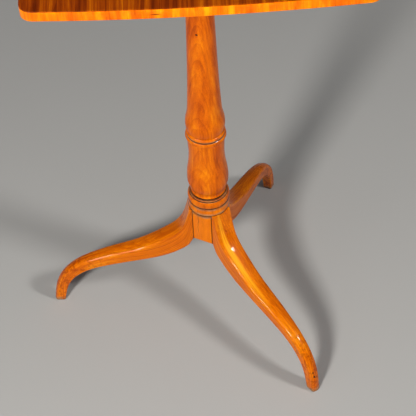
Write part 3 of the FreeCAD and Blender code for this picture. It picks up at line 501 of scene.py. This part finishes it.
def ring_rows(profile):
    """Rows of points that follow the outline, each one moved in and set at its height."""
    outline, normals = top_outline()
    rows = []
    for inset, height in profile:
        level = np.full(len(outline), height)
        rows.append(np.column_stack((outline - normals * (inset + CLEARANCE), level)))
    return np.array(rows)


def make_top_veneer(material):
    """The face veneer: a thin plate with a rounded upper arris."""
    base = TOP_HEIGHT - VENEER
    profile = [(0.02, base), (0.02, base + 0.1)]
    profile += arris(0.0, TOP_HEIGHT, TOP_ARRIS, False, 1, 6)
    profile += [(inset, TOP_HEIGHT) for inset in (2.0, 6.0, 12.0)]
    edge = ring_rows(profile)
    lines = edge.shape[1]
    # smaller and smaller rings carry both faces in to the middle
    inner = [edge[-1] * (share, share, 1) for share in (0.85, 0.68, 0.5, 0.33, 0.17, 0.05)]
    under = [edge[0] * (share, share, 1) for share in (0.05, 0.3, 0.6, 0.85)]
    rows = np.concatenate((np.array(under), edge, np.array(inner)))
    total = rows.shape[0] * lines
    vertices = np.vstack((rows.reshape(-1, 3), (0, 0, base), (0, 0, TOP_HEIGHT)))
    faces = grid_faces(rows.shape[0], lines)
    faces += cap_faces(total, 0, lines, True) + cap_faces(total + 1, total - lines, lines)
    make_piece("top_face", vertices, faces, "top", material, ["top_veneer"])


def make_banding(material):
    """The crosscut edging, its figure running up and down and changing along the edge."""
    crown = TOP_HEIGHT - VENEER
    profile = arris(0.0, TOP_UNDERSIDE, BANDING_ARRIS, True, -1)
    profile += [(0.0, TOP_UNDERSIDE + rise) for rise in (2, 4, 6, 8)]
    profile += arris(0.0, crown, BANDING_UPPER_ARRIS, False, 1, 3)
    profile += [(BANDING, crown), (BANDING, TOP_UNDERSIDE + 6), (BANDING, TOP_UNDERSIDE)]
    rows = ring_rows(profile)
    lines = rows.shape[1]
    faces = grid_faces(len(rows), lines)
    last = (len(rows) - 1) * lines
    for column in range(lines):
        right = (column + 1) % lines
        faces.append((last + column, last + right, right, column))
    band = make_piece("edge_band", rows.reshape(-1, 3), faces, "top", material,
                      ["edge_banding"], sharp=40.0)
    outline, _ = top_outline()
    steps = np.linalg.norm(np.diff(outline, axis=0), axis=1)
    round_edge = np.concatenate(((0,), np.cumsum(steps)))
    height = rows[..., 2]
    grain = np.stack((np.tile(round_edge, (len(rows), 1)), np.zeros_like(height), height), -1)
    add_attribute(band, "grain", grain * MM)


# ---------------------------------------------------------------- other pieces


def refine(node, body, material, bevel, name):
    """The CAD node's own shape with its flats joined and its edges eased."""
    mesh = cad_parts[node].data.copy()
    mesh.name = name
    solid = bmesh.new()
    solid.from_mesh(mesh)
    bmesh.ops.remove_doubles(solid, verts=solid.verts, dist=SAME_POINT)
    bmesh.ops.dissolve_limit(solid, angle_limit=math.radians(SAME_FLAT), verts=solid.verts,
                             edges=solid.edges, delimit={"NORMAL"})
    edges = [edge for edge in solid.edges
             if edge.is_manifold and edge.calc_face_angle(0) > math.radians(EASED_EDGE)]
    bmesh.ops.bevel(solid, geom=edges, offset=bevel * MM, segments=2, profile=0.5,
                    affect="EDGES", clamp_overlap=True)
    bmesh.ops.triangulate(solid, faces=[face for face in solid.faces if len(face.verts) > 4])
    solid.to_mesh(mesh)
    solid.free()
    if "custom_normal" in mesh.attributes:
        mesh.attributes.remove(mesh.attributes["custom_normal"])
    finish_piece(name, mesh, body, material, [node], SHARP_EDGE)


# ---------------------------------------------------------------- materials


class Shader:
    """A material's node tree, written as nested calls."""

    def __init__(self, name):
        self.material = bpy.data.materials.new(name)
        self.material.use_nodes = True
        self.tree = self.material.node_tree
        self.surface = self.tree.nodes["Principled BSDF"]

    def node(self, kind, output, inputs, **settings):
        """An output of a new node, its inputs fed and its settings set."""
        made = self.tree.nodes.new("ShaderNode" + kind)
        for name, value in settings.items():
            setattr(made, name, value)
        for socket, value in inputs.items():
            self.feed(made.inputs[socket], value)
        return made.outputs[output]

    def feed(self, socket, value):
        """Links an output to a socket, or sets the socket's own value."""
        if isinstance(value, bpy.types.NodeSocket):
            self.tree.links.new(value, socket)
        else:
            socket.default_value = value

    def finish(self, **inputs):
        """The material, once its surface has these inputs."""
        for name, value in inputs.items():
            self.feed(self.surface.inputs[name.replace("_", " ")], value)
        return self.material

    def place(self):
        return self.node("TexCoord", "Object", {})

    def attribute(self, name, output="Fac"):
        return self.node("Attribute", output, {}, attribute_name=name)

    def math(self, operation, first, second=0.0, third=0.0):
        return self.node("Math", 0, {0: first, 1: second, 2: third}, operation=operation)

    def vector(self, operation, first, second=(0, 0, 0), third=(0, 0, 0), output=0):
        return self.node("VectorMath", output, {0: first, 1: second, 2: third},
                         operation=operation)

    def scaled(self, vector, factor):
        return self.node("VectorMath", 0, {0: vector, "Scale": factor}, operation="SCALE")

    def along(self, place, direction):
        """How far a place lies along a direction, in metres."""
        return self.vector("DOT_PRODUCT", place, direction, output="Value")

    def moved(self, vector, scale=(1, 1, 1), shift=(0, 0, 0), turn=(0, 0, 0)):
        turn = [math.radians(angle) for angle in turn]
        return self.node("Mapping", 0, {"Vector": vector, "Scale": scale, "Location": shift,
                                        "Rotation": turn})

    def noise(self, vector, scale, detail=3.0, rough=0.55, warp=0.0, output="Fac"):
        return self.node("TexNoise", output, {"Vector": self.moved(vector, scale), "Scale": 1.0,
                                              "Detail": detail, "Roughness": rough,
                                              "Distortion": warp})

    def spread(self, value, low, high, start=0.0, end=1.0):
        return self.node("MapRange", 0, {0: value, 1: low, 2: high, 3: start, 4: end},
                         interpolation_type="SMOOTHSTEP")

    def blend(self, share, first, second):
        made = self.tree.nodes.new("ShaderNodeMix")
        made.data_type = "RGBA"
        for socket, value in ((0, share), (6, first), (7, second)):
            self.feed(made.inputs[socket], value)
        return made.outputs[2]

    def ramp(self, value, stops):
        stops = list(stops)
        made = self.tree.nodes.new("ShaderNodeValToRGB")
        self.feed(made.inputs[0], value)
        elements = made.color_ramp.elements
        while len(elements) < len(stops):
            elements.new(0.5)
        for element, (position, colour) in zip(elements, stops):
            element.position = position
            element.color = (*colour, 1)
        return made.outputs[0]

    def spot(self, place, centre, size, soft=0.5):
        """1 inside an ellipsoid given in millimetres, fading to 0 at its edge."""
        centre = [value * MM for value in centre]
        scale = [1 / (value * MM) for value in size]
        away = self.vector("MULTIPLY", self.vector("SUBTRACT", place, centre), scale)
        return self.spread(self.vector("LENGTH", away, output="Value"), soft, 1.0, 1.0, 0.0)

    def bump(self, height, distance, strength=1.0):
        return self.node("Bump", 0, {"Height": height, "Distance": distance * MM,
                                     "Strength": strength})


def grain_space(shader, grain, shift, turn):
    """Coordinates in metres with the grain along Z."""
    if grain == "attribute":
        return shader.moved(shader.attribute("grain", "Vector"), shift=shift, turn=turn)
    place = shader.moved(shader.place(), turn=turn)
    if grain == "Z":
        return shader.vector("ADD", place, shift)
    split = shader.tree.nodes.new("ShaderNodeSeparateXYZ")
    shader.feed(split.inputs[0], place)
    x, y, z = split.outputs
    order = {"X": (y, z, x), "Y": (z, x, y)}[grain]
    joined = shader.node("CombineXYZ", 0, dict(enumerate(order)))
    return shader.vector("ADD", joined, shift)


# Colours of old dirt, of painted shade with dirt, of wax with painted highlight, of bright figure
# (the gold partly a painted highlight) and of marks
GRIME = (0.030, 0.009, 0.003, 1)
CREVICE_DIRT_AND_SHADE = (0.035, 0.010, 0.003, 1)
# pale lines at the groove edges, a painted highlight that also stands for wax
WAX_AND_HIGHLIGHT = (0.62, 0.50, 0.38, 1)
GOLD_AND_HIGHLIGHT = (0.98, 0.50, 0.020, 1)
HONEY = (1.0, 0.32, 0.004, 1)
KNOT_HALO = (0.55, 0.07, 0.003, 1)
KNOT_CORE = (0.045, 0.010, 0.006, 1)
LEG_KNOT = (0.30, 0.030, 0.004, 1)
LEG_MOTTLE = (0.30, 0.035, 0.003, 1)
NICK = (0.025, 0.010, 0.006, 1)
STAIN_RIM = (0.55, 0.06, 0.002, 1)
STAIN_CORE = (0.045, 0.008, 0.003, 1)

# The dark, deep, middle and light colour of each wood, and where they lie from dark to light
TONE_STOPS = (0.05, 0.34, 0.58, 0.9)
SATIN = [(0.24, 0.030, 0.0), (0.54, 0.100, 0.0), (0.72, 0.170, 0.0), (0.88, 0.33, 0.002)]
LEG_SATIN = [(0.27, 0.036, 0.0), (0.56, 0.115, 0.0), (0.76, 0.205, 0.0), (0.94, 0.42, 0.003)]
TOP_SATIN = [(0.08, 0.008, 0.0), (0.20, 0.030, 0.0), (0.33, 0.062, 0.0), (0.58, 0.17, 0.0)]
BAND_SATIN = [(0.56, 0.080, 0.0), (0.82, 0.170, 0.0), (0.94, 0.255, 0.0), (1.0, 0.46, 0.002)]
CARCASE = [(0.05, 0.020, 0.008), (0.14, 0.062, 0.024), (0.26, 0.125, 0.052), (0.40, 0.22, 0.10)]
BEARER = [(0.055, 0.018, 0.006), (0.15, 0.050, 0.015), (0.27, 0.100, 0.032), (0.42, 0.19, 0.07)]
BEECH = [(0.16, 0.075, 0.032), (0.32, 0.17, 0.08), (0.47, 0.28, 0.145), (0.60, 0.40, 0.23)]

# Aged varnish: a warm clear coat over wood that hardly shines by itself
VARNISH_TINT, VARNISH_IOR, WOOD_SHINE = (1.0, 0.86, 0.62, 1), 1.20, 0.04
DRIFT = 0.016             # how far the figure wanders, in metres
RING_WOBBLE, LATE_WOOD = 1.6, 2.6          # in rings, and how sharply each one darkens
# How strongly each layer shifts the tone from its mean
MEAN_TONE = 0.52
STREAK_STRENGTH, FINE_STRENGTH, FIBRE_STRENGTH, MOTTLE_STRENGTH = 2.3, 1.1, 0.42, 1.5
PORE_SHARE = 0.35


def wood(name, colours, grain="Z", shift=(0, 0, 0), turn=(0, 0, 0), pith=(0.09, 0.02),
         rings=0.0045, ring_share=0.30, streak=(70.0, 2.2), streak_share=1.0, fine_share=0.7,
         mottle=(26.0, 20.0), mottle_share=0.35, coat=0.9, gloss=0.06, rough=0.36, marks=False,
         extra=None):
    """Varnished wood: growth rings, streaks, fibres, pores and a drifting figure.

    Noise scales are in cycles per metre, and small along the grain. rings is the width of a
    ring in metres and pith the place of the tree's heart beside the piece.
    """
    shader = Shader(name)
    place = grain_space(shader, grain, shift, turn)
    wander = shader.noise(place, (16, 16, 3.2), 2.0, output="Color")
    drift = shader.scaled(shader.vector("SUBTRACT", wander, (0.5, 0.5, 0.5)), DRIFT)
    flow = shader.vector("ADD", place, drift)
    from_pith = shader.vector("MULTIPLY", shader.vector("SUBTRACT", flow, (*pith, 0)), (1, 1, 0))
    growth = shader.math("DIVIDE", shader.vector("LENGTH", from_pith, output="Value"), rings)
    growth = shader.math("MULTIPLY_ADD", shader.noise(flow, (45, 45, 6), 2.0), RING_WOBBLE,
                         growth)
    late = shader.math("POWER", shader.math("FRACT", growth), LATE_WOOD)
    clear = shader.spread(shader.noise(flow, (60, 60, 3), 2.0), 0.32, 0.62)
    late = shader.math("MULTIPLY", late, clear)
    across, along = streak
    broad = shader.noise(flow, (across, across, along), 4.0, 0.6)
    fine = shader.noise(flow, (across * 5.5, across * 5.5, along * 4), 3.0, 0.6)
    fibre = shader.noise(flow, (2100, 2100, 42), 2.0, 0.6)
    figure = shader.noise(place, (mottle[0], mottle[0], mottle[1]), 3.0, 0.5, 0.6)
    tone = MEAN_TONE
    for layer, share in ((broad, STREAK_STRENGTH * streak_share),
                         (fine, FINE_STRENGTH * fine_share), (fibre, FIBRE_STRENGTH),
                         (figure, MOTTLE_STRENGTH * mottle_share)):
        tone = shader.math("MULTIPLY_ADD", shader.math("SUBTRACT", layer, 0.5), share, tone)
    tone = shader.math("MULTIPLY_ADD", late, -ring_share, tone)
    dark, light = colours[0], colours[-1]
    colour = shader.ramp(tone, zip(TONE_STOPS, colours, strict=True))
    pores = shader.spread(shader.noise(flow, (3300, 3300, 150), 1.0), 0.62, 0.74)
    colour = shader.blend(shader.math("MULTIPLY", pores, PORE_SHARE), colour, (*dark, 1))
    if extra:
        colour = extra(shader, colour)
    roughness = shader.spread(shader.noise(place, (38, 38, 9), 4.0), 0.3, 0.75, rough, rough + 0.16)
    if marks:
        smudge = shader.noise(place, (140, 140, 90), 3.0)
        # lighter proud edges and upper arrises: wear, and a painted highlight
        worn_and_highlight = shader.math("MULTIPLY", shader.attribute("wear_and_highlight"),
                           shader.spread(smudge, 0.42, 0.62, 0.0, 0.6))
        colour = shader.blend(worn_and_highlight, colour, (*light, 1))
        # pale lines along the edges of the darkened grooves: a painted highlight, and also wax
        shade_and_dirt = shader.attribute("dirt_and_shade")
        wax_and_highlight = shader.math("MULTIPLY", shader.math("SUBTRACT", 1.0, shade_and_dirt), shade_and_dirt)
        wax_and_highlight = shader.math("MULTIPLY", wax_and_highlight, shader.spread(smudge, 0.35, 0.6, 0.4, 2.4))
        colour = shader.blend(wax_and_highlight, colour, WAX_AND_HIGHLIGHT)
        # painted shade, also standing for dirt, in the grooves and towards the foot
        dirt_and_shade = shader.math("MULTIPLY", shade_and_dirt, shader.spread(smudge, 0.2, 0.5, 0.75, 1.0))
        colour = shader.blend(dirt_and_shade, colour, CREVICE_DIRT_AND_SHADE)
        roughness = shader.math("MULTIPLY_ADD", dirt_and_shade, 0.3, roughness)
    relief = shader.math("MULTIPLY_ADD", pores, -1.4, fibre)
    wavy = shader.noise(place, (30, 30, 14), 2.0)
    return shader.finish(
        Base_Color=colour, Roughness=roughness, Normal=shader.bump(relief, 0.02, 0.5),
        Coat_Weight=coat, Coat_Roughness=gloss, Coat_IOR=VARNISH_IOR, Coat_Tint=VARNISH_TINT,
        Coat_Normal=shader.bump(wavy, 0.25, 0.5), Specular_IOR_Level=WOOD_SHINE)


def metal(name, clean, stain, rough, stain_share, metallic=1.0, grit=900.0, relief=0.03):
    """Old metal: a clean colour under tarnish, with fine scratches and dull patches."""
    shader = Shader(name)
    place = shader.place()
    patch = shader.noise(place, (120, 120, 120), 5.0, 0.65, 0.8)
    speck = shader.noise(place, (grit, grit, grit), 3.0, 0.6)
    scratch = shader.noise(place, (260, 4200, 260), 2.0)
    dull = shader.math("MULTIPLY", shader.spread(patch, 0.40, 0.66), stain_share)
    dull = shader.math("MULTIPLY_ADD", shader.spread(speck, 0.52, 0.75), stain_share * 0.5, dull)
    colour = shader.blend(dull, (*clean, 1), (*stain, 1))
    colour = shader.blend(shader.spread(scratch, 0.6, 0.75, 0.0, 0.25), colour, (*clean, 1))
    worn_and_highlight = shader.spread(speck, 0.3, 0.7, rough, rough + 0.12)
    roughness = shader.math("MULTIPLY_ADD", dull, 0.3, worn_and_highlight)
    height = shader.math("MULTIPLY_ADD", speck, 0.7, scratch)
    return shader.finish(Base_Color=colour, Roughness=roughness, Metallic=metallic,
                         Normal=shader.bump(height, relief, 0.6))


JOINT_HALF_WIDTH = LEG_STATIONS[0][4] / 2
SHAKE_STRAY = 0.003       # how far the shake wanders to either side, in metres
# Marks on the pillar, as centre and half sizes
SHAKE = ((-16.6, -23.4, 182.0), (0.55, 5.0, 38.0))
PIN_KNOT = ((-5.6, -16.8, 516.8), (2.3, 3.0, 1.9))
PIN_KNOT_HALO = ((-5.6, -16.8, 516.5), (3.2, 4.0, 6.5))


def pillar_marks(shader, colour):
    """A brighter foot, open joints beside the legs, a shake in the front and a pin knot."""
    place = shader.place()
    height = shader.along(place, (0, 0, 1))
    low = shader.spread(height, (HUB_TOP - 6) * MM, (HUB_TOP + 34) * MM, 0.48, 0.0)
    colour = shader.blend(low, colour, HONEY)
    below = shader.spread(height, (HUB_TOP - 0.3) * MM, (HUB_TOP + 0.2) * MM, 1.0, 0.0)
    for azimuth in LEGS.values():
        c, s = math.cos(math.radians(azimuth)), math.sin(math.radians(azimuth))
        out, side = shader.along(place, (c, s, 0)), shader.along(place, (-s, c, 0))
        away = shader.math("SUBTRACT", shader.math("ABSOLUTE", side), JOINT_HALF_WIDTH * MM)
        line = shader.spread(shader.math("ABSOLUTE", away), 0.3 * MM, 1.0 * MM, 0.95, 0.0)
        line = shader.math("MULTIPLY", line, shader.math("GREATER_THAN", out, 0.0))
        colour = shader.blend(shader.math("MULTIPLY", line, below), colour, GRIME)
    sway = shader.noise(place, (30, 30, 40), 2.0, output="Color")
    strayed = shader.vector("MULTIPLY_ADD", sway, (2 * SHAKE_STRAY, 2 * SHAKE_STRAY, 0),
                            (-SHAKE_STRAY, -SHAKE_STRAY, 0))
    shake = shader.spot(shader.vector("ADD", strayed, place), *SHAKE, 0.35)
    colour = shader.blend(shader.math("MULTIPLY", shake, 0.65), colour, GRIME)
    halo = shader.spot(place, *PIN_KNOT_HALO, 0.1)
    colour = shader.blend(shader.math("MULTIPLY", halo, 0.45), colour, KNOT_HALO)
    return shader.blend(shader.spot(place, *PIN_KNOT), colour, KNOT_CORE)


NEAR_LEG = "leg_front_right"
# How far out each leg is still clean, and where it is fully grubby, in metres
NEAR_LEG_GRUBBY, OTHER_LEGS_GRUBBY = (0.165, 0.225), (0.12, 0.21)
# Marks on the near leg, as centre and half sizes; the ribbon follows the leg's own grain,
# golden figure that also paints the highlight along the lit top
GOLD_RIBBON = ((-6.5, 22.0, 80.0), (6.0, 60.0, 95.0))
SMALL_KNOT = ((37.4, -0.1, 167.1), (2.2, 1.6, 2.2))
NICKS = [
    ((231.2, -2.4, 38.3), (2.4, 1.2, 2.2)),
    ((233.5, -1.8, 30.8), (2.6, 1.7, 3.0)),
    ((233.0, 2.4, 27.5), (2.6, 0.9, 1.6)),
    ((233.6, -6.6, 5.5), (2.4, 1.6, 2.0)),
    ((234.6, 1.5, 9.5), (2.4, 1.1, 1.8)),
]


def leg_marks(label):
    """A material addition for one leg: its dark joint, its grubby foot and its own marks.

    The near leg's gold ribbon is figure and partly a painted highlight.
    """
    near = label == NEAR_LEG
    clean, grubby = NEAR_LEG_GRUBBY if near else OTHER_LEGS_GRUBBY

    def marks(shader, colour):
        place = shader.place()
        flat = shader.vector("MULTIPLY", place, (1, 1, 0))
        reach = shader.vector("LENGTH", flat, output="Value")
        joint = shader.spread(reach, (SCRIBE_RADIUS + 0.15) * MM, (SCRIBE_RADIUS + 0.9) * MM,
                              0.95, 0.0)
        far = shader.spread(reach, clean, grubby)
        mottle = shader.spread(shader.noise(place, (170, 170, 170), 3.0, 0.6), 0.48, 0.62)
        mottle = shader.math("MULTIPLY", shader.math("MULTIPLY", mottle, far), 0.6)
        colour = shader.blend(mottle, colour, LEG_MOTTLE)
        if near:
            grain = shader.attribute("grain", "Vector")
            # golden figure, brightened as a painted highlight along the lit top
            ribbon = shader.spot(grain, *GOLD_RIBBON, 0.2)
            lines = shader.spread(shader.noise(grain, (420, 40, 7), 3.0), 0.35, 0.6, 0.35, 1.0)
            colour = shader.blend(shader.math("MULTIPLY", ribbon, lines), colour, GOLD_AND_HIGHLIGHT)
            knot = shader.spot(place, *SMALL_KNOT, 0.3)
            colour = shader.blend(shader.math("MULTIPLY", knot, 0.75), colour, LEG_KNOT)
            for centre, size in NICKS:
                colour = shader.blend(shader.spot(place, centre, size), colour, NICK)
        return shader.blend(joint, colour, GRIME)
    return marks


STAIN_CENTRE, STAIN_SIZE, RIM_SIZE = (-46.2, -237.0, 732.8), (6.5, 6.0, 0.75), (9.5, 6.0, 1.5)


def band_marks(shader, colour):
    """A dark stain lying along the front edge."""
    place = shader.place()
    stain = shader.spot(place, STAIN_CENTRE, STAIN_SIZE, 0.1)
    rim = shader.spot(place, STAIN_CENTRE, RIM_SIZE, 0.1)
    colour = shader.blend(shader.math("MULTIPLY", rim, 0.6), colour, STAIN_RIM)
    return shader.blend(shader.math("MULTIPLY", stain, 0.95), colour, STAIN_CORE)


# ---------------------------------------------------------------- the table


def build():
    """Every piece of the table in its wood or metal."""
    pillar_wood = wood("satinwood_pillar", SATIN, pith=(-0.034, -0.034), turn=(-8.0, 0.8, 0),
                       rings=0.0042, ring_share=0.16, streak=(90.0, 2.0), streak_share=0.60,
                       fine_share=0.34, mottle_share=0.30, marks=True, extra=pillar_marks)
    make_pillar(pillar_wood)
    for number, (label, azimuth) in enumerate(LEGS.items()):
        leg_wood = wood("satinwood_" + label, LEG_SATIN, grain="attribute", pith=(0.03, -0.11),
                        shift=(0.31 * number, 0.0, 0.7 * number), streak=(150.0, 2.0), rings=0.0034,
                        ring_share=0.16, streak_share=0.40, fine_share=0.45, mottle_share=0.22,
                        marks=True, extra=leg_marks(label))
        make_leg(label, azimuth, leg_wood)
    top_wood = wood("satinwood_face", TOP_SATIN, grain="Y", shift=(0.4, 0.1, 0), pith=(0.0, 0.6),
                    streak=(130.0, 1.1), ring_share=0.18, rings=0.006, mottle=(22.0, 14.0),
                    mottle_share=0.25, gloss=0.07, rough=0.3, streak_share=0.7)
    make_top_veneer(top_wood)
    band_wood = wood("satinwood_edge", BAND_SATIN, grain="attribute", pith=(0.0, 0.9), rings=0.009,
                     ring_share=0.10, streak=(85.0, 12.0), streak_share=0.75, fine_share=0.5,
                     mottle=(50.0, 60.0), mottle_share=0.4, extra=band_marks)
    make_banding(band_wood)
    boards = ("core_board_left", "core_board_middle", "core_board_right")
    for number, node in enumerate(boards):
        board_wood = wood("carcase_" + node, CARCASE, grain="Y",
                          shift=(0.2 * number, 0.37 * number, 0), pith=(0.12 - 0.1 * number, 0.02),
                          rings=0.005, ring_share=0.25, streak_share=0.45, fine_share=0.5,
                          coat=0.0, rough=0.6)
        refine(node, "top", board_wood, 0.15, node + "_planed")
    for number, node in enumerate(("batten_front", "batten_back")):
        bearer_wood = wood("bearer_" + node, BEARER, grain="X", shift=(0.3 * number, 0.1, 0),
                           pith=(0.02, -0.09), rings=0.004, ring_share=0.4, coat=0.25, gloss=0.3,
                           rough=0.5)
        refine(node, "top", bearer_wood, 0.6, node + "_eased")
    block_wood = wood("bearer_block", BEARER, grain="X", shift=(0.0, 0.8, 0), pith=(0.03, -0.12),
                      rings=0.0045, ring_share=0.4, coat=0.2, gloss=0.3, rough=0.5)
    refine("block", "pedestal", block_wood, 0.7, "block_eased")
    pin_wood = wood("beech_pins", BEECH, grain="Y", rings=0.002, coat=0.1, rough=0.5)
    refine("pivot_pin_front", "pedestal", pin_wood, 0.5, "pin_front_turned")
    refine("pivot_pin_back", "pedestal", pin_wood, 0.5, "pin_back_turned")
    wedge_wood = wood("beech_wedge", BEECH, grain="Z", rings=0.002, coat=0.1, rough=0.5)
    refine("tenon_wedge", "pedestal", wedge_wood, 0.1, "wedge_driven")
    brass = metal("brass", (0.78, 0.50, 0.16), (0.17, 0.09, 0.03), 0.26, 0.75)
    iron = metal("iron", (0.16, 0.15, 0.14), (0.10, 0.035, 0.012), 0.5, 0.9, 0.85, 500.0, 0.12)
    steel = metal("screw_steel", (0.42, 0.40, 0.37), (0.10, 0.06, 0.035), 0.38, 0.7)
    for node, body, slot, material, bevel in (
            ("keeper_plate", "pedestal", "brass", brass, 0.25),
            ("catch_case", "top", "brass", brass, 0.25),
            ("catch_bolt", "bolt", "brass", brass, 0.3),
            ("catch_knob", "bolt", "brass", brass, 0.2),
            ("case_screws", "top", "brass", brass, 0.08),
            ("keeper_screws", "pedestal", "brass", brass, 0.08),
            ("spider_plate", "pedestal", "iron", iron, 0.3),
            ("spider_screws", "pedestal", "screw_steel", steel, 0.08),
            ("batten_screws", "top", "screw_steel", steel, 0.1)):
        refine(node, body, material, bevel, node + "_finished")


# ---------------------------------------------------------------- stage, light and camera

FLOOR_REACH = 14.0
FLOOR_GREYS = ((0.40, 0.40, 0.39, 1), (0.43, 0.43, 0.42, 1))
LAMP_AIM, LAMP_DISTANCE = Vector((0.0, 0.0, 0.35)), 2.6
CAMERA_PLACE = (-0.01211, -1.23817, 1.55528)
CAMERA_TURNS = (0.474, 47.928, -2.862)     # yaw, pitch and roll in degrees
LENS, SENSOR = 113.24, 36.0


def make_floor():
    """A plain grey floor, hardly mottled."""
    shader = Shader("floor")
    tint = shader.noise(shader.place(), (1.5, 1.5, 1.5), 3.0)
    colour = shader.blend(tint, *FLOOR_GREYS)
    material = shader.finish(Base_Color=colour, Roughness=0.75)
    mesh = bpy.data.meshes.new("floor")
    corners = [(x * FLOOR_REACH, y * FLOOR_REACH, 0)
               for x, y in ((-1, -1), (1, -1), (1, 1), (-1, 1))]
    mesh.from_pydata(corners, [], [(0, 1, 2, 3)])
    mesh.materials.append(material)
    floor = bpy.data.objects.new("floor", mesh)
    bpy.context.scene.collection.objects.link(floor)


def make_light(name, azimuth, elevation, size, power, colour):
    """A soft round lamp that looks at the middle of the table."""
    turn, rise = math.radians(azimuth), math.radians(elevation)
    away = Vector((math.cos(turn) * math.cos(rise), math.sin(turn) * math.cos(rise),
                   math.sin(rise)))
    data = bpy.data.lights.new(name, "AREA")
    data.shape = "DISK"
    data.size = size
    data.energy = power
    data.color = colour
    lamp = bpy.data.objects.new(name, data)
    lamp.location = LAMP_AIM + away * LAMP_DISTANCE
    lamp.rotation_mode = "QUATERNION"
    lamp.rotation_quaternion = (-away).to_track_quat("-Z", "Y")
    bpy.context.scene.collection.objects.link(lamp)
    return lamp


def make_world():
    """A faint, cool light from all round."""
    world = bpy.data.worlds.new("soft_studio")
    bpy.context.scene.world = world
    world.use_nodes = True
    backdrop = world.node_tree.nodes["Background"]
    backdrop.inputs["Color"].default_value = (0.92, 0.94, 1.0, 1)
    backdrop.inputs["Strength"].default_value = 0.10


def make_camera():
    """A long lens, high and in front, a little left of the pillar and leaning slightly."""
    data = bpy.data.cameras.new("camera")
    data.sensor_width = SENSOR
    data.lens = LENS
    yaw, pitch, roll = (math.radians(angle) for angle in CAMERA_TURNS)
    ahead = Vector((math.sin(yaw) * math.cos(pitch), math.cos(yaw) * math.cos(pitch),
                    -math.sin(pitch)))
    level = ahead.cross(Vector((0, 0, 1))).normalized()
    upward = level.cross(ahead)
    right = level * math.cos(roll) + upward * math.sin(roll)
    up = upward * math.cos(roll) - level * math.sin(roll)
    camera = bpy.data.objects.new("camera", data)
    facing = Matrix((right, up, -ahead)).transposed().to_4x4()
    camera.matrix_world = Matrix.Translation(CAMERA_PLACE) @ facing
    bpy.context.scene.collection.objects.link(camera)
    bpy.context.scene.camera = camera


make_camera()
make_floor()
make_light("key", 242.0, 33.0, 0.40, 66.0, (1.0, 0.97, 0.93))
make_light("fill", 333.0, 42.0, 0.40, 30.0, (1.0, 0.98, 0.95))
# these three only add reflections: they light no matt surface
for name, azimuth, elevation, size, power in (("sheen", 214.0, 33.0, 0.70, 60.0),
                                              ("key_glint", 242.0, 33.0, 0.40, 25.0),
                                              ("fill_glint", 333.0, 42.0, 0.40, 55.0)):
    glint = make_light(name, azimuth, elevation, size, power, (1.0, 0.98, 0.96))
    glint.visible_diffuse = False
make_world()
bpy.context.scene.view_settings.view_transform = "Standard"
build()
